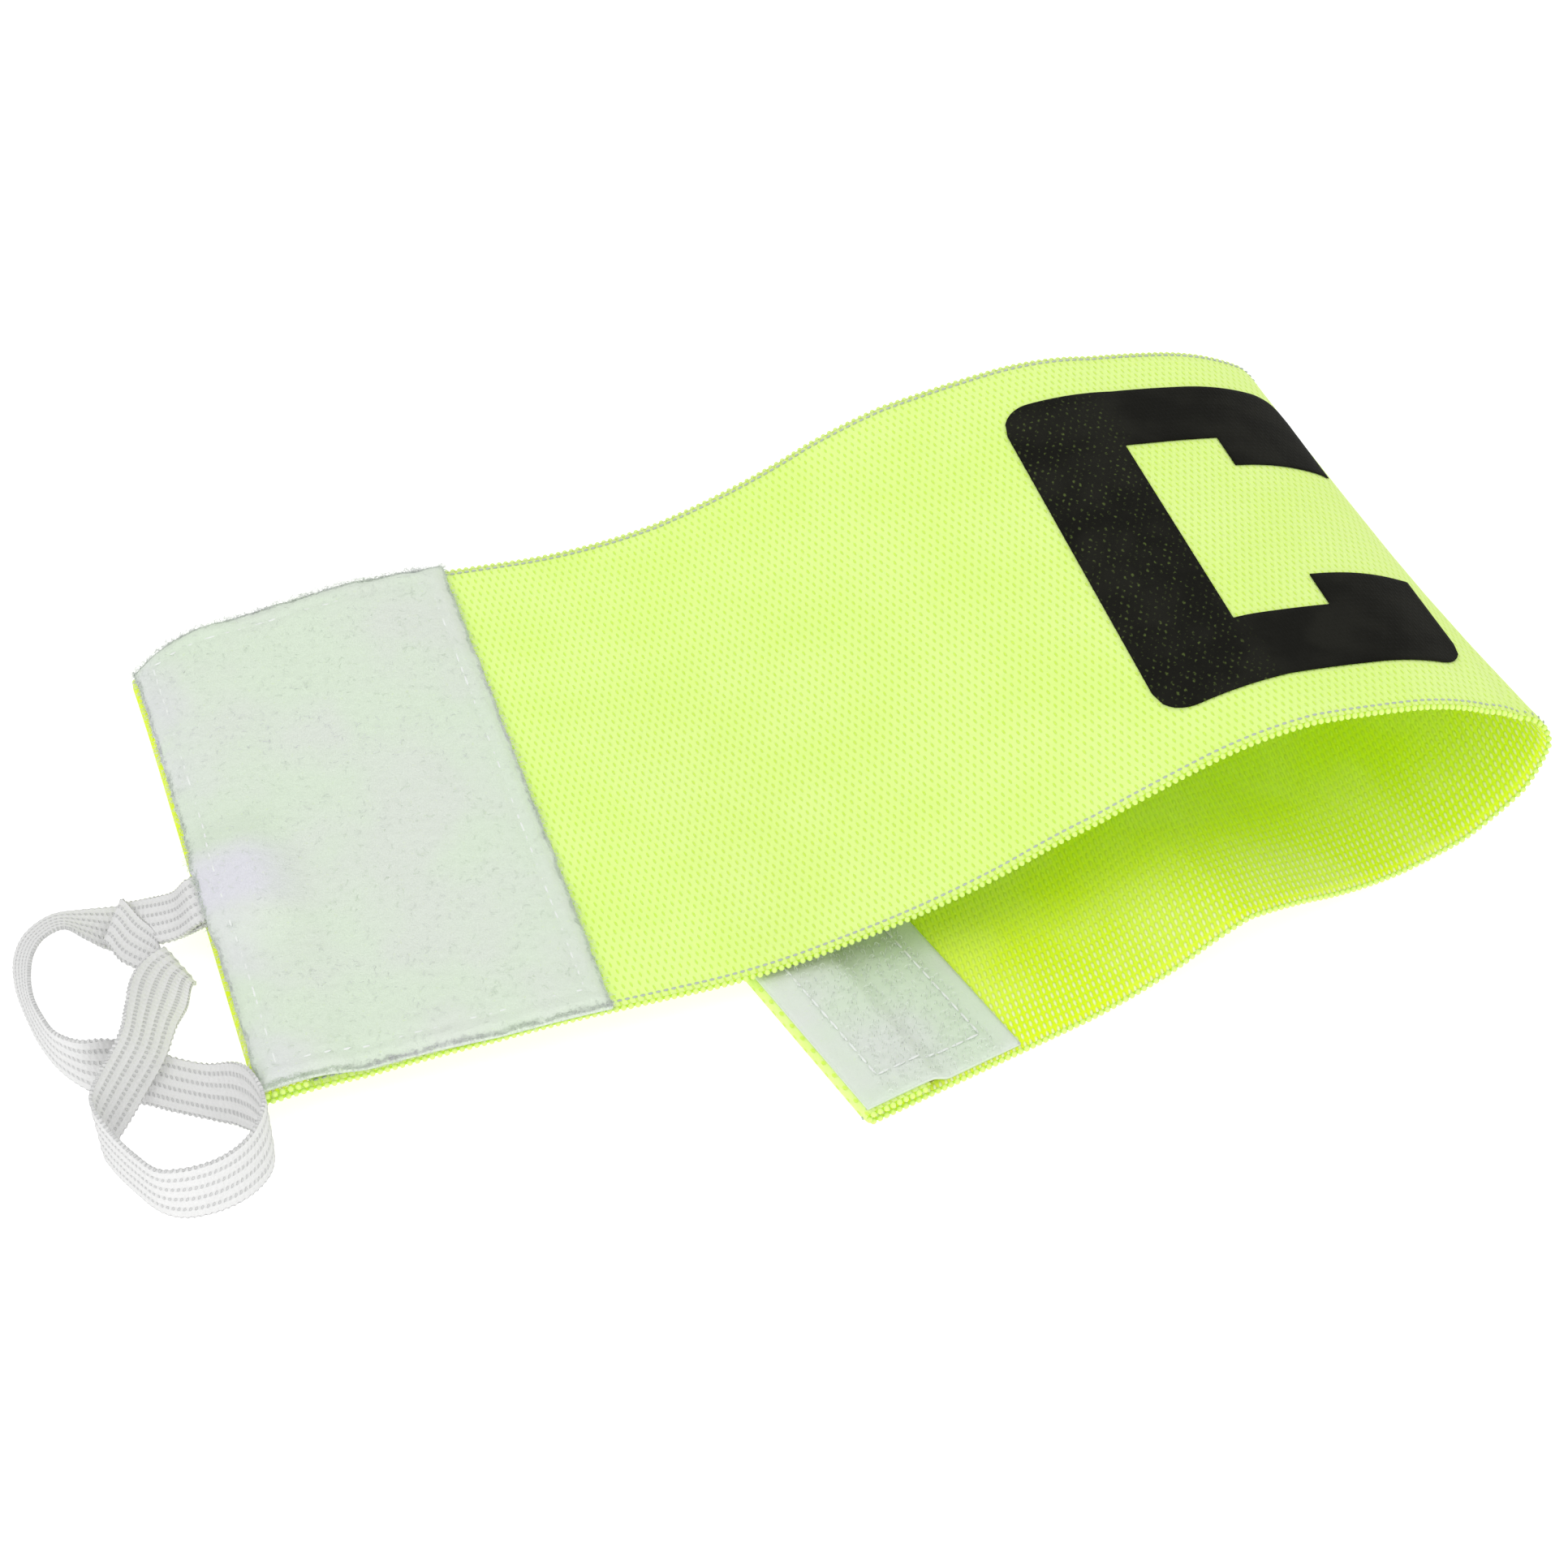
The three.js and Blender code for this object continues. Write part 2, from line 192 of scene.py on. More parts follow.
@dataclass
class Lay:
    """The band's surface as a row of frames along its middle line: T along it, R to its far edge and N out
    of its outer face."""

    arcs: Sequence[Arc] = BAND_ARCS
    heading: float = -147.5
    steps: int = 340
    droop: float = 3.2 * MM
    droop_length: float = 14 * MM
    droop_width: float = 26 * MM
    shift: np.ndarray = field(default_factory=lambda: np.zeros(3))

    def __post_init__(self) -> None:
        """Walks the frames and lays them on the table."""
        frames = self._walk()
        table = Matrix.Translation((0, 0, SIZES.outer)) @ Matrix.Rotation(math.radians(self.heading), 4, "Z")
        move = table @ Matrix.Rotation(math.pi, 4, "X") @ frames[-1].inverted()
        self.frames = np.array([move @ frame_matrix for frame_matrix in frames])

    def _walk(self) -> list[Matrix]:
        """The frames one after another, from the loop end, in the first frame's own axes."""
        total = sum(arc.parts for arc in self.arcs)
        ends = np.cumsum([arc.parts for arc in self.arcs])
        ahead = Matrix.Translation((SIZES.band_length / self.steps, 0, 0))
        frames = [Matrix.Identity(4)]
        for i in range(self.steps):
            arc = self.arcs[int(np.searchsorted(ends, (i + 0.5) / self.steps * total))]
            turn = math.radians(total / self.steps / arc.parts) / 2
            half = Matrix.Rotation(arc.bend * turn, 4, "Y") @ Matrix.Rotation(arc.twist * turn, 4, "X")
            frames.append(frames[-1] @ half @ ahead @ half)
        return frames

    def at(self, u: np.ndarray, v: np.ndarray, n: np.ndarray) -> np.ndarray:
        """Points of the band's space.

        Args:
            u: the way along the band from its loop end.
            v: the way across it from its middle line, to the far edge.
            n: the height over the cloth's middle surface, out of the outer face.

        Returns:
            An array of points, its last axis x, y and z.
        """
        u, v, n = np.broadcast_arrays(*(np.asarray(value, float) for value in (u, v, n)))
        place = np.clip(u / SIZES.band_length * self.steps, 0, self.steps)
        index = np.minimum(place.astype(int), self.steps - 1)
        beyond = u - place / self.steps * SIZES.band_length
        local = np.stack([beyond, v, n, np.ones_like(u)], -1)
        before = np.einsum("...ij,...j->...i", self.frames[index], local)[..., :3]
        after = np.einsum("...ij,...j->...i", self.frames[index + 1], local)[..., :3]
        points = before + (after - before) * (place - index)[..., None] + self.shift
        share_along = np.clip(1 - u / self.droop_length, 0, 1)
        share_across = np.clip(1 - (SIZES.band_width / 2 - v) / self.droop_width, 0, 1)
        points[..., 2] -= self.droop * share_along**2 * share_across**2
        return points

    def axes(self, u: np.ndarray) -> np.ndarray:
        """The frames' axes at u, as matrices whose columns are T, R and N."""
        place = np.clip(np.asarray(u, float) / SIZES.band_length * self.steps, 0, self.steps)
        return self.frames[place.astype(int)][..., :3, :3]


# The places of a Mix node's colour sockets
MIX_LOW, MIX_HIGH, MIX_RESULT = 6, 7, 2


class Graph:
    """A node tree with short ways to add and join nodes."""

    def __init__(self, tree: bpy.types.NodeTree) -> None:
        """Keeps the tree."""
        self.tree = tree

    def add(self, kind: str, **inputs: object) -> bpy.types.Node:
        """Adds a node.

        Args:
            kind: the node's type name.
            inputs: values or sockets, by input name with _ for a space.

        Returns:
            The node.
        """
        node = self.tree.nodes.new(kind)
        for name, value in inputs.items():
            self.join(value, node.inputs[name.replace("_", " ")])
        return node

    def join(self, value: object, socket: Socket) -> None:
        """Links a socket to an input, or sets a plain value on it."""
        if isinstance(value, bpy.types.NodeSocket):
            self.tree.links.new(value, socket)
        elif isinstance(value, tuple) and len(value) == 3 and socket.type == "RGBA":
            socket.default_value = (*value, 1)
        else:
            socket.default_value = value

    def math(self, operation: str, *values: Value) -> Socket:
        """A Math node's result for the values."""
        node = self.tree.nodes.new("ShaderNodeMath")
        node.operation = operation
        for value, socket in zip(values, node.inputs):
            self.join(value, socket)
        return node.outputs[0]

    def blend(self, factor: Value, low: object, high: object) -> Socket:
        """A colour between two colours.

        Args:
            factor: 0 for low, 1 for high.
            low: a colour or socket.
            high: a colour or socket.

        Returns:
            The mixed colour.
        """
        node = self.tree.nodes.new("ShaderNodeMix")
        node.data_type = "RGBA"
        self.join(factor, node.inputs["Factor"])
        self.join(low, node.inputs[MIX_LOW])
        self.join(high, node.inputs[MIX_HIGH])
        return node.outputs[MIX_RESULT]

    def ramp(self, value: Value, low: float, high: float) -> Socket:
        """A smooth rise of value from 0 at low to 1 at high."""
        node = self.tree.nodes.new("ShaderNodeMapRange")
        node.interpolation_type = "SMOOTHSTEP"
        self.join(value, node.inputs["Value"])
        node.inputs["From Min"].default_value = low
        node.inputs["From Max"].default_value = high
        return node.outputs["Result"]

    def parts(self, vector: Socket) -> tuple[Socket, Socket, Socket]:
        """The three numbers of a vector."""
        node = self.add("ShaderNodeSeparateXYZ", Vector=vector)
        return node.outputs[0], node.outputs[1], node.outputs[2]


@dataclass(frozen=True)
class Pattern:
    """A shader node group that several finishes use."""

    name: str
    inputs: tuple[tuple[str, str, float], ...]
    outputs: tuple[str, ...]
    fill: Callable[[Graph, dict[str, Socket]], tuple[Socket, ...]]

    def tree(self) -> bpy.types.NodeTree:
        """The group, made at its first use."""
        made = bpy.data.node_groups.get(self.name)
        if made:
            return made
        tree = bpy.data.node_groups.new(self.name, "ShaderNodeTree")
        for name, kind, value in self.inputs:
            socket = tree.interface.new_socket(name, in_out="INPUT", socket_type=kind)
            if kind == "NodeSocketFloat":
                socket.default_value = value
        for name in self.outputs:
            tree.interface.new_socket(name, in_out="OUTPUT", socket_type="NodeSocketFloat")
        start = tree.nodes.new("NodeGroupInput")
        end = tree.nodes.new("NodeGroupOutput")
        results = self.fill(Graph(tree), {socket.name: socket for socket in start.outputs})
        for result, socket in zip(results, end.inputs):
            tree.links.new(result, socket)
        return tree

    def place(self, graph: Graph, **values: object) -> bpy.types.Node:
        """Adds the group to a material's graph.

        Args:
            graph: the material's graph.
            values: inputs by name, with _ for a space.

        Returns:
            The group's node.
        """
        node = graph.tree.nodes.new("ShaderNodeGroup")
        node.node_tree = self.tree()
        for name, value in values.items():
            graph.join(value, node.inputs[name.replace("_", " ")])
        return node


# Where a dash fades out, in its own half sizes, and where the fibre's clouds begin and end
DASH_EDGE = (0.55, 1.25)
CLOUD_EDGE = (0.38, 0.64)
CLOUD_DETAIL = 3.0
FIBRE_DETAIL = 6.0
FIBRE_ROUGHNESS = 0.7


def dash_rows(graph: Graph, given: dict[str, Socket]) -> tuple[Socket, ...]:
    """Fills the group of staggered short dashes that a weave shows.

    Args:
        graph: the group's graph.
        given: the group's inputs.

    Returns:
        The dashes' mask and the height of the threads between them.
    """
    x, y, _ = graph.parts(given["Place"])
    row = graph.math("DIVIDE", y, given["Pitch Across"])
    number = graph.math("FLOOR", row)
    across = graph.math("SUBTRACT", graph.math("SUBTRACT", row, number), 0.5)
    lean = graph.math("MULTIPLY", across, given["Slant"])
    offset = graph.math("MULTIPLY", number, given["Stagger"])
    column = graph.math("ADD", graph.math("ADD", graph.math("DIVIDE", x, given["Pitch Along"]), offset), lean)
    along = graph.math("SUBTRACT", graph.math("FRACT", column), 0.5)
    wide = graph.math("POWER", graph.math("DIVIDE", along, given["Width"]), 2.0)
    tall = graph.math("POWER", graph.math("DIVIDE", across, given["Length"]), 2.0)
    reach = graph.math("SQRT", graph.math("ADD", wide, tall))
    mask = graph.math("SUBTRACT", 1.0, graph.ramp(reach, *DASH_EDGE))
    threads = graph.math("COSINE", graph.math("MULTIPLY", along, 2 * math.pi))
    return mask, graph.math("MULTIPLY", threads, 0.5)


def loose_fibre(graph: Graph, given: dict[str, Socket]) -> tuple[Socket, ...]:
    """Fills the group of soft uneven fibre.

    Args:
        graph: the group's graph.
        given: the group's inputs.

    Returns:
        The fine fibre's height and a broad cloudy mask.
    """
    fine = graph.add(
        "ShaderNodeTexNoise", Vector=given["Place"], Scale=given["Fine"], Detail=FIBRE_DETAIL, Roughness=FIBRE_ROUGHNESS
    )
    broad = graph.add("ShaderNodeTexNoise", Vector=given["Place"], Scale=given["Broad"], Detail=CLOUD_DETAIL)
    return fine.outputs["Fac"], graph.ramp(broad.outputs["Fac"], *CLOUD_EDGE)


DASHES = Pattern(
    "woven_dashes",
    (
        ("Place", "NodeSocketVector", 0),
        ("Pitch Along", "NodeSocketFloat", 1),
        ("Pitch Across", "NodeSocketFloat", 1),
        ("Width", "NodeSocketFloat", 0.3),
        ("Length", "NodeSocketFloat", 0.3),
        ("Stagger", "NodeSocketFloat", 0.5),
        ("Slant", "NodeSocketFloat", 0),
    ),
    ("Mask", "Height"),
    dash_rows,
)
FIBRE = Pattern(
    "loose_fibre",
    (("Place", "NodeSocketVector", 0), ("Fine", "NodeSocketFloat", 4), ("Broad", "NodeSocketFloat", 0.1)),
    ("Height", "Cloud"),
    loose_fibre,
)


@dataclass(frozen=True)
class Finish:
    """A plain cloth finish: what each other finish starts from."""

    name: str
    colour: Colour
    roughness: float = 0.85
    sheen: float = 0.1
    specular: float = 0.15
    glow_through: float = 0.0
    glow_radius: Colour = (1, 1, 0.4)
    glow_depth: float = 1.6 * MM
    sheen_roughness: float = 0.5
    fine: float = 3.0
    broad: float = 0.2
    strength: float = 0.3
    depth: float = 0.05 * MM

    def material(self) -> bpy.types.Material:
        """The finish's material, made at its first use."""
        made = bpy.data.materials.get(self.name)
        if made:
            return made
        material = bpy.data.materials.new(self.name)
        material.use_nodes = True
        graph = Graph(material.node_tree)
        shader = material.node_tree.nodes["Principled BSDF"]
        shader.inputs["Base Color"].default_value = (*self.colour, 1)
        shader.inputs["Roughness"].default_value = self.roughness
        shader.inputs["Sheen Weight"].default_value = self.sheen
        shader.inputs["Sheen Roughness"].default_value = self.sheen_roughness
        shader.inputs["Specular IOR Level"].default_value = self.specular
        shader.inputs["Subsurface Weight"].default_value = self.glow_through
        shader.inputs["Subsurface Radius"].default_value = self.glow_radius
        shader.inputs["Subsurface Scale"].default_value = self.glow_depth
        self.dress(graph, shader)
        return material

    def dress(self, graph: Graph, shader: bpy.types.Node) -> None:
        """Adds the finish's own pattern: fine uneven fibre."""
        self.bump(graph, shader, self.fibre(graph, self.place(graph)).outputs["Height"])

    def place(self, graph: Graph) -> Socket:
        """The place on the cloth, x along it and y across it in millimetres."""
        node = graph.tree.nodes.new("ShaderNodeUVMap")
        node.uv_map = CLOTH_UV
        return node.outputs["UV"]

    def fibre(self, graph: Graph, place: Socket) -> bpy.types.Node:
        """The fibre group at the place, as fine and as broad as the finish says."""
        return FIBRE.place(graph, Place=place, Fine=self.fine, Broad=self.broad)

    def bump(self, graph: Graph, shader: bpy.types.Node, height: Socket) -> None:
        """Feeds a height to the shader's normal, by the finish's strength and depth.

        Args:
            graph: the material's graph.
            shader: its shader.
            height: the height, where 1 stands for the finish's depth.
        """
        node = graph.add("ShaderNodeBump", Height=height, Strength=self.strength, Distance=self.depth)
        graph.tree.links.new(node.outputs["Normal"], shader.inputs["Normal"])


@dataclass(frozen=True)
class WovenFinish(Finish):
    """Woven elastic whose dashes are pits or raised floats between its threads; the dashes' colour is painted shade in
    sunken pits and painted light on raised floats.
    """

    # The dashes' colour: painted shade for sunken pits, painted light for raised floats
    painted_dash_colour: Colour = (0.4, 0.6, 0.05)
    pitch_along: float = 1.2
    pitch_across: float = 1.1
    dash_width: float = 0.2
    dash_length: float = 0.42
    slant: float = 0.0
    dash_mix: float = 0.9
    dash_height: float = -1.0
    thread_height: float = 0.35
    fibre_height: float = 0.4
    fibre_shade: float = 0.9
    least_shade: float = 0.35
    cloud_share: float = 0.12
    fine: float = 2.2
    broad: float = 0.06
    strength: float = 0.7
    depth: float = 0.16 * MM
    # Painted shade across the band: between these two places the dashes' painted light fades out by the share, where
    # the upper layer shades the lower one
    shade_starts: float = 90.0
    shade_full: float = 91.0
    shade_share: float = 0.7

    def dress(self, graph: Graph, shader: bpy.types.Node) -> None:
        """Adds the dashes with their painted shade and light, the threads and their uneven tone."""
        place = self.place(graph)
        dashes = DASHES.place(
            graph, Place=place, Pitch_Along=self.pitch_along, Pitch_Across=self.pitch_across,
            Width=self.dash_width, Length=self.dash_length, Slant=self.slant,
        )
        fibre = self.fibre(graph, place)
        _, y, _ = graph.parts(place)
        # Painted shade: the pale dashes fade out across the band, where the upper layer shades the lower one's inner
        # face
        painted_shade_mask = graph.math("MULTIPLY", graph.ramp(y, self.shade_starts, self.shade_full), self.shade_share)
        kept = graph.math("MULTIPLY", graph.math("SUBTRACT", 1.0, painted_shade_mask), self.dash_mix)
        uneven = graph.math(
            "ADD", graph.math("MULTIPLY", fibre.outputs["Height"], self.fibre_shade), self.least_shade
        )
        shade = graph.math("MULTIPLY", dashes.outputs["Mask"], graph.math("MULTIPLY", kept, uneven))
        cloud = graph.math("MULTIPLY", fibre.outputs["Cloud"], self.cloud_share)
        tone = graph.blend(cloud, self.colour, self.painted_dash_colour)
        # The dash mask lays the painted dash colour over the tone: painted shade in the pits, painted light on the
        # floats
        colour = graph.blend(shade, tone, self.painted_dash_colour)
        graph.tree.links.new(colour, shader.inputs["Base Color"])
        between = graph.math("MULTIPLY", dashes.outputs["Height"], self.thread_height)
        relief = graph.math("ADD", between, graph.math("MULTIPLY", dashes.outputs["Mask"], self.dash_height))
        rough = graph.math("ADD", relief, graph.math("MULTIPLY", fibre.outputs["Height"], self.fibre_height))
        self.bump(graph, shader, rough)


@dataclass(frozen=True)
class PileFinish(Finish):
    """Brushed or hooked fastening tape: soft, cloudy, with a second tint and small bright specks."""

    tint: Colour = (0.80, 0.79, 0.90)
    speck: Colour = (0.66, 0.88, 0.22)
    speck_share: float = 0.25
    speck_edge: tuple[float, float] = (0.58, 0.72)
    speck_fine: float = 1.3
    speck_broad: float = 0.5
    fine: float = 2.4
    broad: float = 0.045
    strength: float = 0.8
    depth: float = 0.35 * MM
    lilac: Colour = (0.77, 0.76, 0.84)
    lilac_share: float = 0.0
    tape_middle: float = SIZES.tape_place / MM
    tape_half: tuple[float, float] = (2.0, 9.0)
    tape_reach: tuple[float, float] = (7.0, 16.0)
    worn_reach: tuple[float, float] = (1.0, 10.0)
    worn_share: float = 0.5

    def dress(self, graph: Graph, shader: bpy.types.Node) -> None:
        """Adds the cloudy tint, the specks of the band showing through and the fibre."""
        place = self.place(graph)
        fibre = self.fibre(graph, place)
        specks = FIBRE.place(graph, Place=place, Fine=self.speck_fine, Broad=self.speck_broad)
        tone = graph.blend(fibre.outputs["Cloud"], self.colour, self.tint)
        amount = graph.math("MULTIPLY", graph.ramp(specks.outputs["Height"], *self.speck_edge), self.speck_share)
        pale = graph.blend(self._tape_mark(graph, place, fibre), tone, self.lilac)
        graph.tree.links.new(graph.blend(amount, pale, self.speck), shader.inputs["Base Color"])
        self.bump(graph, shader, fibre.outputs["Height"])

    def _tape_mark(self, graph: Graph, place: Socket, fibre: bpy.types.Node) -> Socket:
        """The mask of the lilac tint over the tape's sewn ends and along the worn end.

        Args:
            graph: the material's graph.
            place: the place on the cloth.
            fibre: the fibre group's node, for a cloudy outline.

        Returns:
            The mask.
        """
        x, y, _ = graph.parts(place)
        from_tape = graph.math("ABSOLUTE", graph.math("SUBTRACT", y, self.tape_middle))
        over_tape = graph.math(
            "MULTIPLY", graph.math("SUBTRACT", 1.0, graph.ramp(from_tape, *self.tape_half)),
            graph.math("SUBTRACT", 1.0, graph.ramp(x, *self.tape_reach)),
        )
        at_end = graph.math(
            "MULTIPLY", graph.math("SUBTRACT", 1.0, graph.ramp(x, *self.worn_reach)),
            graph.math("MULTIPLY", fibre.outputs["Cloud"], self.worn_share),
        )
        return graph.math("MULTIPLY", graph.math("MAXIMUM", over_tape, at_end), self.lilac_share)


@dataclass(frozen=True)
class RibFinish(Finish):
    """Ribbed elastic tape: lengthwise cords with rows of small slanted stitches between them."""

    ribs: float = 5.0
    width: float = 9.5
    # Painted shade: the grey laid into the grooves and the sunken stitches
    groove_shade_colour: Colour = (0.50, 0.51, 0.505)
    groove_edge: tuple[float, float] = (0.1, 1.0)
    groove_shade: float = 0.16
    groove_height: float = -0.5
    stitch_pitch: float = 0.8
    stitch_width: float = 0.24
    stitch_length: float = 0.17
    stitch_slant: float = 0.6
    stitch_shade: float = 0.5
    stitch_height: float = -0.8
    fibre_height: float = 0.6
    fine: float = 2.6
    broad: float = 0.3
    strength: float = 0.9
    depth: float = 0.2 * MM

    def dress(self, graph: Graph, shader: bpy.types.Node) -> None:
        """Adds the ribs, the stitches and the painted shade in the grooves and the sunken stitches."""
        place = self.place(graph)
        _, y, _ = graph.parts(place)
        stitches = DASHES.place(
            graph, Place=place, Pitch_Along=self.stitch_pitch, Pitch_Across=self.width / self.ribs,
            Width=self.stitch_width, Length=self.stitch_length, Slant=self.stitch_slant,
        )
        wave = graph.math("COSINE", graph.math("MULTIPLY", y, 2 * math.pi * self.ribs / self.width))
        groove = graph.ramp(graph.math("MULTIPLY", wave, -1.0), *self.groove_edge)
        fibre = self.fibre(graph, place)
        # Painted shade in the grooves; the stitch rows are the knit's own pattern, darkened as painted shade in their
        # sunken pits
        shade = graph.math("MULTIPLY", groove, self.groove_shade)
        dotted = graph.math("MAXIMUM", shade, graph.math("MULTIPLY", stitches.outputs["Mask"], self.stitch_shade))
        colour = graph.blend(dotted, self.colour, self.groove_shade_colour)
        graph.tree.links.new(colour, shader.inputs["Base Color"])
        relief = graph.math(
            "ADD", graph.math("MULTIPLY", groove, self.groove_height),
            graph.math("MULTIPLY", stitches.outputs["Mask"], self.stitch_height),
        )
        rough = graph.math("ADD", relief, graph.math("MULTIPLY", fibre.outputs["Height"], self.fibre_height))
        self.bump(graph, shader, rough)


@dataclass(frozen=True)
class PrintFinish(Finish):
    """Matt print on the weave, worn through to the cloth in small pinholes."""

    cloth_colour: Colour = (0.66, 0.93, 0.20)
    pitch_along: float = 1.2
    pitch_across: float = 1.1
    dash_width: float = 0.2
    dash_length: float = 0.42
    thread_height: float = 0.5
    worn_stroke: tuple[float, float] = (160.0, 166.0)
    worn_edge: tuple[float, float] = (0.5, 0.62)
    worn_share: float = 0.10
    cloud_tone: float = 1.7
    fine: float = 1.1
    broad: float = 0.09
    strength: float = 0.55
    depth: float = 0.12 * MM

    def dress(self, graph: Graph, shader: bpy.types.Node) -> None:
        """Adds the weave under the print and the pinholes along its first stroke."""
        place = self.place(graph)
        x, _, _ = graph.parts(place)
        dashes = DASHES.place(
            graph, Place=place, Pitch_Along=self.pitch_along, Pitch_Across=self.pitch_across,
            Width=self.dash_width, Length=self.dash_length,
        )
        fibre = self.fibre(graph, place)
        stroke = graph.math("SUBTRACT", 1.0, graph.ramp(x, *self.worn_stroke))
        holes = graph.ramp(fibre.outputs["Height"], *self.worn_edge)
        worn = graph.math("MULTIPLY", holes, dashes.outputs["Mask"])
        amount = graph.math("MULTIPLY", graph.math("MULTIPLY", worn, stroke), self.worn_share)
        dull = graph.blend(fibre.outputs["Cloud"], self.colour, tuple(self.cloud_tone * part for part in self.colour))
        graph.tree.links.new(graph.blend(amount, dull, self.cloth_colour), shader.inputs["Base Color"])
        between = graph.math("MULTIPLY", dashes.outputs["Height"], self.thread_height)
        self.bump(graph, shader, graph.math("SUBTRACT", between, dashes.outputs["Mask"]))


NEON: Colour = (0.73, 0.94, 0.29)
# Painted shade: the darker colour of the outer weave's sunken pits, also the tone of its broad clouds
NEON_SHADE: Colour = (0.57, 0.85, 0.03)
WHITE: Colour = (0.76, 0.76, 0.755)

OUTER_WEAVE = WovenFinish(
    "elastic_outer", NEON, painted_dash_colour=NEON_SHADE, glow_through=0.35, pitch_along=1.25, pitch_across=1.45,
    dash_width=0.14, dash_length=0.36, dash_mix=0.8, slant=0.12,
)
# The inner face: its low-blue base is the cloth's colour deepened to its tone in shade, partly painted shade; its pale
# raised dashes are painted light on the lit near part and fade out as painted shade towards the far side
INNER_WEAVE = WovenFinish(
    "elastic_inner", (0.72, 0.95, 0.015), painted_dash_colour=(0.88, 0.99, 0.55), glow_through=0.35, pitch_along=1.0,
    pitch_across=1.5, shade_starts=-41, shade_full=-24, shade_share=0.9, dash_mix=1.0, dash_width=0.27,
    dash_length=0.40, slant=0.45, dash_height=1.0, depth=0.22 * MM,
)
SELVAGE = Finish("elastic_selvage", (0.72, 0.93, 0.24), 0.8)
SELVAGE_CORE = Finish("elastic_core", (0.50, 0.74, 0.03), 0.9)
RAW_THREAD = Finish("raw_thread", (0.34, 0.33, 0.05), 0.8)
GREY_THREAD = Finish("grey_thread", (0.45, 0.50, 0.47), 0.6)
PILE = PileFinish("loop_pile", (0.73, 0.835, 0.685), 0.95, tint=(0.745, 0.80, 0.72), lilac_share=0.85)
HOOK_TAPE = PileFinish("hook_tape", (0.68, 0.79, 0.63), 0.7, tint=(0.73, 0.77, 0.72), depth=0.2 * MM)
HOOK_PLASTIC = Finish("hook_thread", (0.80, 0.86, 0.78), 0.35, 0.0)
STITCH = Finish("stitch_thread", (0.80, 0.83, 0.80), 0.6)
PRINT = PrintFinish("matt_print", (0.0085, 0.0085, 0.0065), 0.75, 0.0, specular=0.05)
TAPE_WEAVE = RibFinish("tape_elastic", WHITE, 0.8)


def deselect() -> None:
    """Clears the selection before an operator."""
    if bpy.context.mode != "OBJECT":
        bpy.ops.object.mode_set(mode="OBJECT")
    bpy.ops.object.select_all(action="DESELECT")


@dataclass
class Grid:
    """A closed sheet's corner points, rows along it and columns across: its outer and inner face, their
    place on the cloth in millimetres, and which cells are there."""

    outer: np.ndarray
    inner: np.ndarray
    place: np.ndarray
    kept: Optional[np.ndarray] = None

    def build(self, name: str, finishes: Sequence[Finish]) -> bpy.types.Object:
        """Makes the sheet's object.

        Args:
            name: the piece's name.
            finishes: those of the outer face, the inner face and the rim.

        Returns:
            The object, its faces pointing outwards.
        """
        rows, columns = self.outer.shape[0], self.outer.shape[1]
        kept = np.ones((rows - 1, columns - 1), bool) if self.kept is None else self.kept
        number = np.arange(rows * columns).reshape(rows, columns)
        under = number + rows * columns
        corners = (number[:-1, :-1], number[1:, :-1], number[1:, 1:], number[:-1, 1:])
        outer = np.stack(corners, -1)[kept]
        inner = np.stack([under.ravel()[corner] for corner in reversed(corners)], -1)[kept]
        rim = self._rim(kept, number, under)
        faces = np.concatenate([outer, inner, rim])
        slots = np.repeat([layer.value for layer in Layer], [len(outer), len(inner), len(rim)])
        points = np.concatenate([self.outer.reshape(-1, 3), self.inner.reshape(-1, 3)])
        places = np.concatenate([self.place.reshape(-1, 2)] * 2)
        return mesh_object(name, points, faces, finishes, slots, places)

    @staticmethod
    def _rim(kept: np.ndarray, number: np.ndarray, under: np.ndarray) -> np.ndarray:
        """The faces between outer and inner face along every free side of the kept cells."""
        padded = np.pad(kept, 1)
        quads = []
        sides = (
            (padded[1:-1, :-2], (0, 0), (1, 0)),
            (padded[2:, 1:-1], (1, 0), (1, 1)),
            (padded[1:-1, 2:], (1, 1), (0, 1)),
            (padded[:-2, 1:-1], (0, 1), (0, 0)),
        )
        for beside, start, end in sides:
            i, j = np.nonzero(kept & ~beside)
            first = (i + start[0], j + start[1])
            second = (i + end[0], j + end[1])
            quads.append(np.stack([under[first], under[second], number[second], number[first]], -1))
        return np.concatenate(quads)


def mesh_object(
    name: str,
    points: np.ndarray,
    faces: np.ndarray,
    finishes: Sequence[Finish],
    slots: Optional[np.ndarray] = None,
    places: Optional[np.ndarray] = None,
) -> bpy.types.Object:
    """Makes a mesh object at the origin, smooth, riding on the body.

    Args:
        name: the piece's name.
        points: its corner points.
        faces: its faces, rows of corner numbers, all of one length.
        finishes: one for each material slot.
        slots: each face's slot, the first where left out.
        places: each point's place on the cloth, for the UV map.

    Returns:
        The object.
    """
    mesh = bpy.data.meshes.new(name)
    used, faces = np.unique(faces, return_inverse=True)
    sides = faces.shape[1] if faces.ndim == 2 else 4
    faces = faces.reshape(-1, sides)
    mesh.from_pydata(points[used].tolist(), [], faces.tolist())
    for finish in finishes:
        mesh.materials.append(finish.material())
    if slots is not None:
        mesh.polygons.foreach_set("material_index", slots.astype(np.int32))
    if places is not None:
        layer = mesh.uv_layers.new(name=CLOTH_UV)
        layer.data.foreach_set("uv", places[used][faces.ravel()].astype(np.float32).ravel())
    mesh.polygons.foreach_set("use_smooth", np.ones(len(faces), bool))
    mesh.validate()
    mesh.update()
    piece = bpy.data.objects.new(name, mesh)
    bpy.context.scene.collection.objects.link(piece)
    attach(piece, BODY)
    return piece


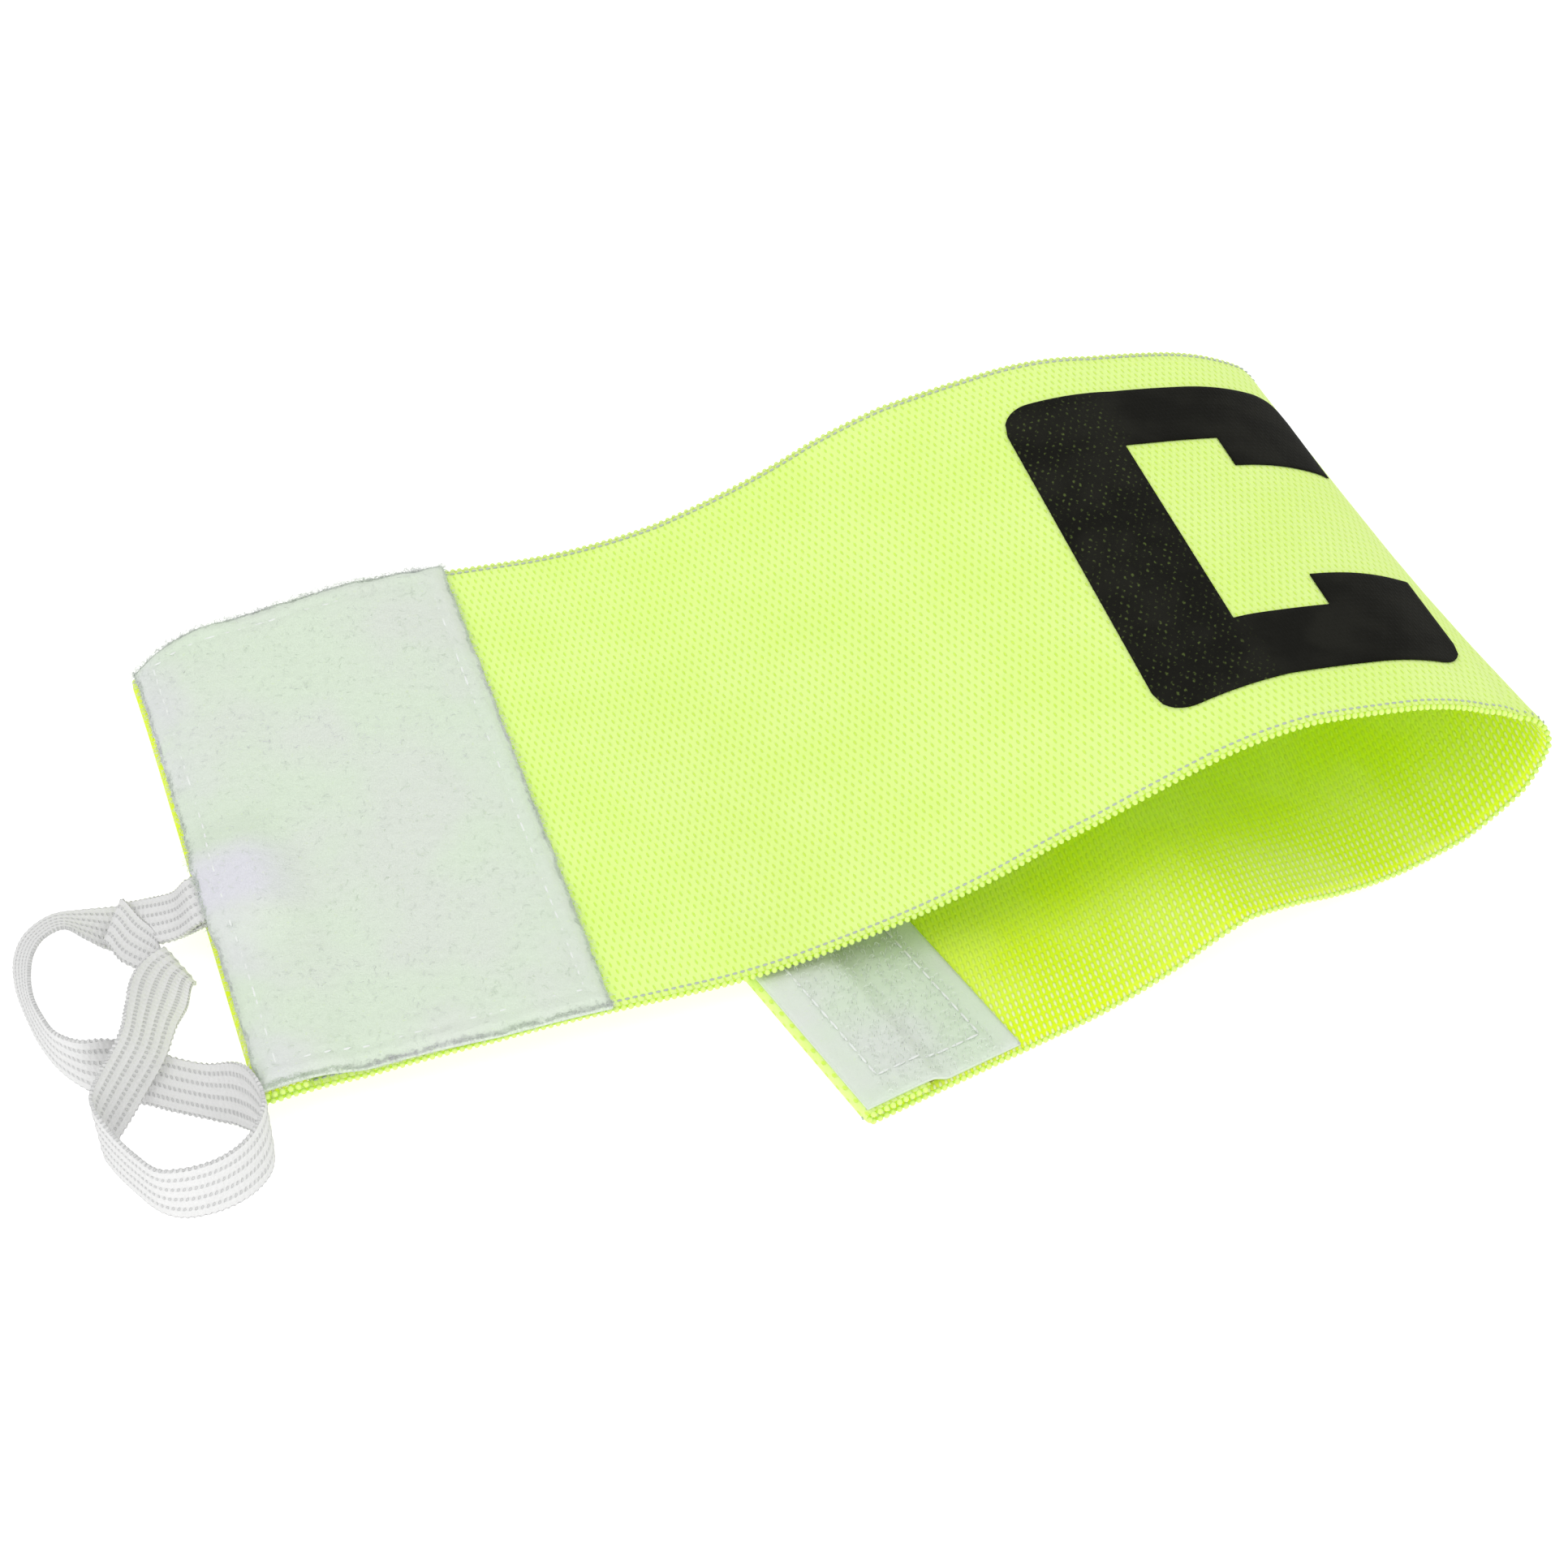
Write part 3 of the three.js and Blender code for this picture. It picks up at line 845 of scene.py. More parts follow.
def small_shape(kind: SmallShape) -> tuple[np.ndarray, np.ndarray]:
    """A small shape modelled once, to be copied many times.

    Args:
        kind: a bead, which is a coarse ball, or a stitch, a slim one that lies along x.

    Returns:
        Its points, within one unit each way, and its four-sided faces.
    """
    cuts, girth = kind.value
    deselect()
    bpy.ops.mesh.primitive_cube_add(size=1)
    shape = bpy.context.object
    bpy.ops.object.mode_set(mode="EDIT")
    bpy.ops.mesh.select_all(action="SELECT")
    bpy.ops.mesh.subdivide(number_cuts=cuts)
    bpy.ops.transform.tosphere(value=1)
    bpy.ops.transform.resize(value=(1, girth, girth))
    bpy.ops.object.mode_set(mode="OBJECT")
    mesh = shape.data
    points = np.array([vertex.co[:] for vertex in mesh.vertices])
    faces = np.array([polygon.vertices[:] for polygon in mesh.polygons])
    bpy.data.objects.remove(shape)
    bpy.data.meshes.remove(mesh)
    return points / np.abs(points).max(), faces


def scatter(
    name: str,
    shape: tuple[np.ndarray, np.ndarray],
    middles: np.ndarray,
    axes: np.ndarray,
    finish: Finish,
) -> bpy.types.Object:
    """Copies a small shape to many places as one piece.

    Args:
        name: the piece's name.
        shape: the shape's points and faces.
        middles: the places.
        axes: for each place a matrix whose columns are the shape's half sizes along its x, y and z.
        finish: the piece's finish.

    Returns:
        The joined piece.
    """
    points, faces = shape
    spots = np.einsum("kij,pj->kpi", axes, points) + middles[:, None, :]
    joined = (faces[None] + len(points) * np.arange(len(middles))[:, None, None]).reshape(-1, faces.shape[1])
    places = np.tile(points[:, :2], (len(middles), 1))
    return mesh_object(name, spots.reshape(-1, 3), joined, [finish], None, places)


@dataclass
class Band:
    """The woven elastic strip with its two turned hems and its beaded edges."""

    lay: Lay
    along_step: float = 1.1 * MM
    across_count: int = 64
    fold_steps: int = 10
    bead_pitch: float = 1.12 * MM
    bead_half: tuple[float, float, float] = (0.47 * MM, 0.5 * MM, 0.5 * MM)
    bead_inset: float = -0.12 * MM
    fray_pitch: float = 0.55 * MM
    fray_half: tuple[float, float, float] = (0.55 * MM, 0.09 * MM, 0.09 * MM)
    fray_seed: int = 21
    fray_height: float = 0.8
    fray_lean: float = 0.5
    fray_reach: tuple[float, float] = (0.3, 0.8)
    edge_thinning: float = 0.35
    edge_width: float = 0.8 * MM
    dot_pitch: float = 1.2 * MM
    dot_inset: float = 0.85 * MM
    dot_half: tuple[float, float, float] = (0.42 * MM, 0.2 * MM, 0.14 * MM)

    def line(self) -> np.ndarray:
        """The cloth seen from its edge, from one hem's tip to the other's.

        Returns:
            Rows of u, n, the angle of travel and the length so far.
        """
        rise, radius = SIZES.hem_rise, SIZES.hem_rise / 2
        start = [(u, rise, math.pi) for u in spread(SIZES.loop_hem, 0, self.along_step)[:-1]]
        turns = np.linspace(0, math.pi, self.fold_steps + 1)
        start += [(-radius * math.sin(turn), radius + radius * math.cos(turn), math.pi + turn) for turn in turns]
        middle = [(u, 0, 0) for u in spread(0, SIZES.band_length, self.along_step)[1:-1]]
        end = [
            (SIZES.band_length + radius * math.sin(turn), radius * math.cos(turn) - radius, -turn) for turn in turns
        ]
        tip = SIZES.band_length - SIZES.hook_hem
        end += [(u, -rise, -math.pi) for u in spread(SIZES.band_length, tip, self.along_step)[1:]]
        rows = np.array(start + middle + end, float)
        steps = np.hypot(np.diff(rows[:, 0]), np.diff(rows[:, 1]))
        return np.column_stack([rows, np.concatenate([[0], np.cumsum(steps)])])

    def surface(self, line: np.ndarray, v: np.ndarray, height: Union[float, np.ndarray]) -> np.ndarray:
        """Points at a height over the cloth's middle along the turned line.

        Args:
            line: rows of u, n and angle.
            v: the way across.
            height: out of the outer face.

        Returns:
            The points.
        """
        u, n, angle = line[..., 0], line[..., 1], line[..., 2]
        return self.lay.at(u - height * np.sin(angle), v, n + height * np.cos(angle))

    def build(self) -> bpy.types.Object:
        line = self.line()
        half = SIZES.band_width / 2
        across = np.linspace(-half, half, self.across_count + 1)
        rows = line[:, None, :]
        thin = SIZES.outer * (1 - self.edge_thinning * smooth_step(np.abs(across), half - self.edge_width, half))
        outer = self.surface(rows, across[None], thin[None])
        inner = self.surface(rows, across[None], -thin[None])
        place = np.stack(np.broadcast_arrays(line[:, None, 3] / MM, across[None] / MM), -1)
        strip = Grid(outer, inner, place).build("elastic_band", [OUTER_WEAVE, INNER_WEAVE, SELVAGE_CORE])
        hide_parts("band")
        beads = self._row_of_shapes(
            "edge_beads", line, self.bead_pitch, self.bead_inset, 0.0, self.bead_half, SELVAGE
        )
        dots = self._row_of_shapes(
            "edge_thread", line, self.dot_pitch, self.dot_inset, SIZES.outer, self.dot_half, GREY_THREAD
        )
        fray = self._fray(line)
        return strip

    def _fray(self, line: np.ndarray) -> bpy.types.Object:
        """Sets short loose threads along the raw tips of both hems.

        Args:
            line: the cloth seen from its edge.

        Returns:
            The threads as one piece.
        """
        chance = np.random.default_rng(self.fray_seed)
        middles, matrices = [], []
        for tip, way in ((line[0], -1), (line[-1], 1)):
            v = np.arange(-SIZES.band_width / 2 + self.fray_pitch, SIZES.band_width / 2, self.fray_pitch)
            height = chance.uniform(-self.fray_height, self.fray_height, v.size) * SIZES.outer
            lean = chance.uniform(-self.fray_lean, self.fray_lean, v.size)
            u = tip[0] + way * math.cos(tip[2]) * self.fray_half[0] * chance.uniform(*self.fray_reach, v.size)
            middles.append(self.lay.at(u, v, tip[1] + height))
            axes = self.lay.axes(u)
            along = axes[:, :, 0] * np.cos(lean)[:, None] + axes[:, :, 1] * np.sin(lean)[:, None]
            across = axes[:, :, 1] * np.cos(lean)[:, None] - axes[:, :, 0] * np.sin(lean)[:, None]
            sizes = self.fray_half
            matrices.append(np.stack([along * sizes[0], across * sizes[1], axes[:, :, 2] * sizes[2]], -1))
        piece = scatter(
            "hem_threads", small_shape(SmallShape.STITCH), np.concatenate(middles), np.concatenate(matrices),
            RAW_THREAD,
        )
        return piece

    def _row_of_shapes(
        self,
        name: str,
        line: np.ndarray,
        pitch: float,
        inset: float,
        height: float,
        half: tuple[float, float, float],
        finish: Finish,
    ) -> bpy.types.Object:
        """Sets beads along both long edges, from hem tip to hem tip.

        Args:
            name: the piece's name.
            line: the cloth seen from its edge.
            pitch: from bead to bead.
            inset: how far inside the edge they lie.
            height: over the cloth's middle.
            half: a bead's half size along, across and out of the cloth.
            finish: their finish.

        Returns:
            The piece.
        """
        lengths = np.arange(pitch / 2, line[-1, 3], pitch)
        spots = np.stack([np.interp(lengths, line[:, 3], line[:, k]) for k in range(3)], -1)
        axes = self.lay.axes(spots[:, 0])
        turn = spots[:, 2]
        along = axes[:, :, 0] * np.cos(turn)[:, None] + axes[:, :, 2] * np.sin(turn)[:, None]
        out = axes[:, :, 2] * np.cos(turn)[:, None] - axes[:, :, 0] * np.sin(turn)[:, None]
        matrices = np.stack([along * half[0], axes[:, :, 1] * half[1], out * half[2]], -1)
        middles = [
            self.surface(spots, side.value * (SIZES.band_width / 2 - inset), height) for side in Side
        ]
        return scatter(
            name, small_shape(SmallShape.BEAD), np.concatenate(middles), np.tile(matrices, (2, 1, 1)), finish
        )


@dataclass
class Stitching:
    """Lockstitch runs on a patch, each stitch sunk at both its ends."""

    lay: Lay
    pitch: float = 2.6 * MM
    half: tuple[float, float, float] = (1.05 * MM, 0.3 * MM, 0.26 * MM)

    def build(
        self,
        name: str,
        corners: Sequence[tuple[float, float]],
        height: Callable[[np.ndarray, np.ndarray], np.ndarray],
        slot: str,
    ) -> bpy.types.Object:
        """Sews round a closed outline.

        Args:
            name: the piece's name.
            corners: the outline's corners as u and v.
            height: the n of the stitches' middles at u and v.
            slot: not used.

        Returns:
            The stitches as one piece.
        """
        middles, matrices = [], []
        for start, end in zip(corners, [*corners[1:], corners[0]]):
            start, end = np.array(start), np.array(end)
            count = max(1, round(float(np.linalg.norm(end - start)) / self.pitch))
            shares = (np.arange(count) + 0.5) / count
            u, v = (start + (end - start) * shares[:, None]).T
            direction = (end - start) / np.linalg.norm(end - start)
            axes = self.lay.axes(u)
            along = axes[:, :, 0] * direction[0] + axes[:, :, 1] * direction[1]
            across = axes[:, :, 1] * direction[0] - axes[:, :, 0] * direction[1]
            matrices.append(np.stack(
                [along * self.half[0], across * self.half[1], axes[:, :, 2] * self.half[2]], -1
            ))
            middles.append(self.lay.at(u, v, height(u, v)))
        piece = scatter(
            name, small_shape(SmallShape.STITCH), np.concatenate(middles), np.concatenate(matrices), STITCH
        )
        return piece


def seam_corners(start: float, end: float, half: float, inset: float) -> list[tuple[float, float]]:
    """The corners of a seam that runs round inside a patch.

    Args:
        start: where the patch starts along the band.
        end: where it ends.
        half: its half width.
        inset: how far inside its outline the seam runs.

    Returns:
        The corners as u and v.
    """
    low, high, side = start + inset, end - inset, half - inset
    return [(low, -side), (high, -side), (high, side), (low, side)]


@dataclass(frozen=True)
class Waves:
    """A smooth uneven height made of crossed waves: its size, the waves' mean length and which waves they are."""

    height: float
    length: float
    seed: int
    count: int = 14
    spread: tuple[float, float] = (0.6, 1.8)

    def at(self, u: np.ndarray, v: np.ndarray) -> np.ndarray:
        """The heights at places along u and across v."""
        chance = np.random.default_rng(self.seed)
        total = np.zeros(np.broadcast(u, v).shape)
        for _ in range(self.count):
            turn, start = chance.uniform(0, 2 * math.pi, 2)
            length = self.length * chance.uniform(*self.spread)
            total += np.sin((u * math.cos(turn) + v * math.sin(turn)) * 2 * math.pi / length + start)
        return self.height * (total / math.sqrt(self.count))


# A direction that no thread follows, and a length that keeps a division safe
SLANT = np.array([0.31, 0.52, 0.79])
TINY = 1e-12


def threads(name: str, spine: np.ndarray, width: float, finish: Finish) -> bpy.types.Object:
    """Makes four-sided threads with closed ends along rows of points.

    Args:
        name: the piece's name.
        spine: an array of threads, points and coordinates.
        width: a thread's width.
        finish: the threads' finish.

    Returns:
        The threads as one piece.
    """
    count, points = spine.shape[:2]
    along = np.gradient(spine, axis=1)
    along /= np.linalg.norm(along, axis=2, keepdims=True) + TINY
    side = np.cross(along, SLANT)
    side /= np.linalg.norm(side, axis=2, keepdims=True) + TINY
    up = np.cross(side, along)
    angles = np.arange(4) * math.pi / 2
    ring = side[:, :, None] * np.cos(angles)[:, None] + up[:, :, None] * np.sin(angles)[:, None]
    corners = (spine[:, :, None] + ring * width / 2).reshape(-1, 3)
    number = np.arange(count * points * 4).reshape(count, points, 4)
    turned = np.roll(number, -1, axis=2)
    sides = np.stack([number[:, :-1], number[:, 1:], turned[:, 1:], turned[:, :-1]], -1).reshape(-1, 4)
    quads = np.concatenate([sides, number[:, 0], number[:, -1, ::-1]])
    places = np.stack([corners[:, 0], corners[:, 1]], -1) / MM
    return mesh_object(name, corners, quads, [finish], None, places)


@dataclass
class LoopPatch:
    """The brushed pile patch, sewn over the loop end's hem and the tape's two ends."""

    lay: Lay
    thickness: float = 1.4 * MM
    margin: float = 0.1 * MM
    overlap: float = 0.5 * MM
    start: float = -0.1 * MM
    end: float = 51.5 * MM
    step_length: float = 10 * MM
    tape_shoulder: float = 9 * MM
    grain: float = 0.5 * MM
    stitch_inset: float = 3.2 * MM
    stitch_width: float = 0.7 * MM
    seam_depth: float = 0.14
    stitch_sink: float = 0.12 * MM
    edge_share: float = 0.5
    edge_width: tuple[float, float] = (-0.1 * MM, 1.8 * MM)
    swell: Waves = Waves(0.07 * MM, 9 * MM, 4)
    nap: Waves = Waves(0.06 * MM, 1.7 * MM, 5)
    even_edge: float = 1 * MM
    ragged: Waves = Waves(0.12 * MM, 4 * MM, 6)
    ragged_width: float = 2 * MM
    overlap_rise: tuple[float, float] = (0.4, 0.75)
    fibres: int = 6500
    fibre_seed: int = 31
    fibre_reach: float = 1.0 * MM
    fibre_height: float = 0.32 * MM
    fibre_thread: float = 0.05 * MM
    fibre_points: int = 4
    fibre_curl: float = 1.6
    fibre_arch: float = 0.75
    fibre_root: float = 0.08 * MM
    fibre_rim: float = 0.012
    fibre_fields: int = 5
    reach_spread: tuple[float, float] = (0.4, 1.3)
    height_spread: tuple[float, float] = (0.3, 1.2)

    @property
    def half(self) -> float:
        """The patch's half width."""
        return SIZES.band_width / 2 - self.margin

    def under(self, u: np.ndarray, v: np.ndarray) -> np.ndarray:
        """The patch's under side: over the hem, up over the tape's ends and down to the band."""
        over_hem = SIZES.hem_rise * fade(u, SIZES.loop_hem + SIZES.layer_gap, self.step_length)
        along = fade(u, SIZES.tape_sewn + SIZES.layer_gap, self.tape_shoulder)
        half = SIZES.tape_width / 2 + SIZES.layer_gap
        across = fade(np.abs(v - SIZES.tape_place), half, self.tape_shoulder)
        stack = 2 * (SIZES.tape_thickness + SIZES.layer_gap)
        return SIZES.outer + SIZES.seat + over_hem + stack * along * across

    def edge_distance(self, u: np.ndarray, v: np.ndarray) -> np.ndarray:
        """How far a point lies inside the patch's outline."""
        ends = np.minimum(u - self.start, self.end - u)
        return np.minimum(ends, self.half - np.abs(v))

    def overhung(self, u: np.ndarray, v: np.ndarray) -> np.ndarray:
        """The way across, moved out where the patch reaches past the band's edge."""
        low, high = self.overlap_rise
        return v * (1 + self.overlap / self.half * smooth_step(u, low * self.end, high * self.end))

    def top(self, u: np.ndarray, v: np.ndarray) -> np.ndarray:
        """The pile's upper side, thin at the edges, pressed down along the seam and uneven all over."""
        inside = self.edge_distance(u, v)
        full = SIZES.layer_gap - SIZES.seat + self.thickness
        edge = self.edge_share + (1 - self.edge_share) * smooth_step(inside, *self.edge_width)
        seam = 1 - self.seam_depth * np.exp(-(((inside - self.stitch_inset) / self.stitch_width) ** 2))
        uneven = self.swell.at(u, v) + self.nap.at(u, v)
        return self.under(u, v) + full * edge * seam + uneven * smooth_step(inside, 0, self.even_edge)

    def build(self) -> bpy.types.Object:
        half = self.half
        u = spread(self.start, self.end, self.grain)[:, None]
        v = spread(-half, half, self.grain)[None]
        wave = self.ragged.at(u, v) * fade(self.edge_distance(u, v), 0, self.ragged_width)
        out = self.overhung(u, v)
        outer = self.lay.at(u + wave, out + wave, self.top(u, v))
        inner = self.lay.at(u, out, self.under(u, v))
        place = np.stack(np.broadcast_arrays(u / MM, v / MM), -1)
        patch = Grid(outer, inner, place).build("pile_patch", [PILE, PILE, PILE])
        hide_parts("loop_patch")
        corners = seam_corners(self.start, self.end, half, self.stitch_inset)
        seam = Stitching(self.lay).build(
            "pile_seam", corners, lambda a, b: self.top(a, b) - self.stitch_sink, "pile"
        )
        fuzz = self._fuzz()
        return patch

    def _fuzz(self) -> bpy.types.Object:
        """Sets fine curled fibres, a fifth of them over the whole pile and a fifth along each of its sides."""
        chance = np.random.default_rng(self.fibre_seed)
        share = chance.uniform(0, 1, self.fibres)
        across = chance.uniform(-1, 1, self.fibres)
        rim = chance.integers(0, self.fibre_fields, self.fibres)
        edge = 1 - chance.uniform(0, self.fibre_rim, self.fibres)
        share = np.where(rim == 1, 1 - edge, np.where(rim == 2, edge, share))
        across = np.where(rim == 3, -edge, np.where(rim == 4, edge, across))
        u = self.start + share * (self.end - self.start)
        v = across * self.half
        turn = chance.uniform(0, 2 * math.pi, self.fibres)
        reach = self.fibre_reach * chance.uniform(*self.reach_spread, self.fibres)
        tall = self.fibre_height * chance.uniform(*self.height_spread, self.fibres)
        bend = np.linspace(0, 1, self.fibre_points)
        curl = chance.uniform(-self.fibre_curl, self.fibre_curl, self.fibres)
        way = turn[:, None] + curl[:, None] * bend
        su = u[:, None] + reach[:, None] * bend * np.cos(way)
        sv = v[:, None] + reach[:, None] * bend * np.sin(way)
        base = self.top(u, v)[:, None] - self.fibre_root
        arch = np.sin(bend * math.pi * self.fibre_arch)
        spine = self.lay.at(su, self.overhung(su, sv), base + tall[:, None] * arch)
        fuzz = threads("pile_fibres", spine, self.fibre_thread, PILE)
        return fuzz


@dataclass
class HookPatch:
    """The hooked patch, sewn on the inner face over the other end's hem."""

    lay: Lay
    length: float = 26.8 * MM
    thickness: float = 1 * MM
    margin: float = 0.4 * MM
    end_inset: float = -0.7 * MM
    step_length: float = 3.5 * MM
    selvage: float = 3.6 * MM
    grain: float = 0.6 * MM
    stitch_inset: float = 4.4 * MM
    hook_pitch: tuple[float, float] = (1.25 * MM, 1.15 * MM)
    hook_height: float = 1.0 * MM
    hook_width: float = 0.75 * MM
    hook_thread: float = 0.09 * MM
    hook_seed: int = 12
    hook_stray: float = 0.35
    hook_points: int = 6
    hook_bend: float = 1.35 * math.pi
    hook_spread: tuple[float, float] = (0.7, 1.15)
    hook_stem: float = 0.55
    hook_dip: float = 0.6
    hook_border: float = 0.5 * MM
    stitch_lift: float = 0.15 * MM
    edge_share: float = 0.35
    edge_rise: float = 0.2
    edge_width: tuple[float, float] = (-0.1 * MM, 0.8 * MM)
    field_rise: float = 0.12
    field_edge: float = 0.6 * MM
    swell: Waves = Waves(0.04 * MM, 5 * MM, 8)
    even_edge: float = 1 * MM

    @property
    def end(self) -> float:
        """Where the patch ends along the band."""
        return SIZES.band_length - self.end_inset

    @property
    def half(self) -> float:
        """The patch's half width."""
        return SIZES.band_width / 2 - self.margin

    def under(self, u: np.ndarray) -> np.ndarray:
        """The height of the side that lies on the band, as a length below the cloth's middle."""
        tip = SIZES.band_length - SIZES.hook_hem - SIZES.layer_gap
        over_hem = SIZES.hem_rise * fade(-np.asarray(u, float), -tip, self.step_length)
        return SIZES.outer + SIZES.seat + over_hem

    def face(self, u: np.ndarray, v: np.ndarray) -> np.ndarray:
        """The height of the hooked side, as a length below the cloth's middle."""
        from_ends = np.minimum(u - self.end + self.length, self.end - u)
        inside = np.minimum(from_ends, self.half - np.abs(v))
        full = SIZES.layer_gap - SIZES.seat + self.thickness
        edge = self.edge_share + self.edge_rise * smooth_step(inside, *self.edge_width)
        hooked = self.field_rise * smooth_step(from_ends, self.selvage, self.selvage + self.field_edge)
        uneven = self.swell.at(u, v) * smooth_step(inside, 0, self.even_edge)
        return self.under(u) + full * (edge + hooked) + uneven

    def build(self) -> bpy.types.Object:
        half = self.half
        u = spread(self.end - self.length, self.end, self.grain)[:, None]
        v = spread(-half, half, self.grain)[None]
        outer = self.lay.at(u, v, np.broadcast_to(-self.under(u), np.broadcast(u, v).shape))
        inner = self.lay.at(u, v, -self.face(u, v))
        place = np.stack(np.broadcast_arrays(u / MM, v / MM), -1)
        patch = Grid(outer, inner, place).build("hook_patch_tape", [HOOK_TAPE, HOOK_TAPE, HOOK_TAPE])
        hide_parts("hook_patch")
        corners = seam_corners(self.end - self.length, self.end, half, self.stitch_inset)
        seam = Stitching(self.lay).build(
            "hook_seam", corners, lambda a, b: -self.face(a, b) - self.stitch_lift, "hooks"
        )
        hooks = self._hooks()
        LOG.info("hook_patch_tape: %.1f by %.1f mm", self.length / MM, 2 * half / MM)
        return patch

    def _hooks(self) -> bpy.types.Object:
        """Sets small bent threads all over the patch between its plain selvages."""
        chance = np.random.default_rng(self.hook_seed)
        side = self.half - self.hook_border
        rows = np.arange(self.end - self.length + self.selvage, self.end - self.selvage, self.hook_pitch[0])
        columns = np.arange(-side, side, self.hook_pitch[1])
        u, v = (grid.ravel() for grid in np.meshgrid(rows, columns, indexing="ij"))
        u = u + chance.uniform(-self.hook_stray, self.hook_stray, u.size) * self.hook_pitch[0]
        v = v + chance.uniform(-self.hook_stray, self.hook_stray, v.size) * self.hook_pitch[1]
        turn = chance.uniform(0, 2 * math.pi, u.size)
        tall = self.hook_height * chance.uniform(*self.hook_spread, u.size)
        bend = np.linspace(0, self.hook_bend, self.hook_points)
        reach = self.hook_width / 2 * (1 - np.cos(bend))
        stem = np.sin(np.minimum(bend, math.pi / 2)) * self.hook_stem
        rise = stem + (1 - self.hook_stem) * np.sin(bend).clip(-self.hook_dip, 1)
        su = u[:, None] + reach * np.cos(turn)[:, None]
        sv = v[:, None] + reach * np.sin(turn)[:, None]
        base = self.face(u, v)[:, None]
        spine = self.lay.at(su, sv, -(base + tall[:, None] * rise.clip(0, 1)))
        piece = threads("hook_threads", spine, self.hook_thread, HOOK_PLASTIC)
        return piece


@dataclass
class LetterPrint:
    """The printed block letter on the outer face."""

    lay: Lay
    start: float = 146 * MM
    length: float = 51.7 * MM
    height: float = 71.5 * MM
    stroke: float = 16.8 * MM
    arm: float = 14 * MM
    lip: float = 7.5 * MM
    lip_width: float = 18.5 * MM
    corner: float = 5.5 * MM
    gap: float = 0.1 * MM
    thickness: float = 0.2 * MM
    grain: float = 0.7 * MM
    cells: tuple[int, ...] = (14, 10, 38, 10, 14)

    def half(self, u: np.ndarray) -> np.ndarray:
        """How far the outer edge stands from the letter's middle, with round corners."""
        from_end = np.minimum(np.minimum(u - self.start, self.start + self.length - u), self.corner)
        drop = self.corner - np.sqrt(self.corner**2 - (self.corner - from_end) ** 2)
        return self.height / 2 - drop

    def build(self) -> bpy.types.Object:
        """Makes the print as a thin sheet that follows the band."""
        end = self.start + self.length
        marks = [
            self.start, self.start + self.corner, self.start + self.stroke, end - self.lip_width,
            end - self.corner, end,
        ]
        u = np.concatenate([spread(a, b, self.grain)[:-1] for a, b in zip(marks, marks[1:])] + [[end]])
        outer_edge = self.half(u)
        arm_edge = self.height / 2 - self.arm
        lip_edge = arm_edge - self.lip
        edges = np.array([-1, 0, 0, 0, 0, 1]) * outer_edge[:, None]
        edges = edges + np.array([0, -arm_edge, -lip_edge, lip_edge, arm_edge, 0])
        fields = [
            edges[:, k:k + 1] + (edges[:, k + 1:k + 2] - edges[:, k:k + 1]) * np.arange(count) / count
            for k, count in enumerate(self.cells)
        ]
        v = np.concatenate([*fields, edges[:, -1:]], axis=1)
        middle = ((u[1:] + u[:-1]) / 2)[:, None]
        arms, lips = (np.repeat(there, self.cells)[None] for there in ([1, 0, 0, 0, 1], [0, 1, 0, 1, 0]))
        kept = (middle < self.start + self.stroke) | (arms == 1) | ((lips == 1) & (middle > end - self.lip_width))
        low = SIZES.outer + self.gap
        along = np.broadcast_to(u[:, None], v.shape)
        place = np.stack([along / MM, v / MM], -1)
        grid = Grid(self.lay.at(along, v, low + self.thickness), self.lay.at(along, v, low), place, kept)
        letter = grid.build("block_letter", [PRINT, PRINT, PRINT])
        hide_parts("letter_print")
        LOG.info("block_letter: %.1f by %.1f mm", self.length / MM, self.height / MM)
        return letter


def rounded_way(points: np.ndarray, shares: np.ndarray) -> np.ndarray:
    """A centripetal curve through points.

    Args:
        points: the points that it passes.
        shares: places on it, from 0 at the first point to 1 at the last.

    Returns:
        The curve's points there.
    """
    ends = np.vstack([2 * points[0] - points[1], points, 2 * points[-1] - points[-2]])
    place = np.asarray(shares) * (len(points) - 1)
    index = np.minimum(place.astype(int), len(points) - 2)
    t = (place - index)[:, None]
    p0, p1, p2, p3 = (ends[index + k] for k in range(4))
    gaps = [np.sqrt(np.linalg.norm(b - a, axis=1))[:, None] for a, b in ((p0, p1), (p1, p2), (p2, p3))]
    leave = (p1 - p0) / gaps[0] - (p2 - p0) / (gaps[0] + gaps[1]) + (p2 - p1) / gaps[1]
    reach = (p2 - p1) / gaps[1] - (p3 - p1) / (gaps[1] + gaps[2]) + (p3 - p2) / gaps[2]
    leave, reach = leave * gaps[1], reach * gaps[1]
    square = 3 * (p2 - p1) - 2 * leave - reach
    cube = 2 * (p1 - p2) + leave + reach
    return p1 + t * (leave + t * (square + t * cube))


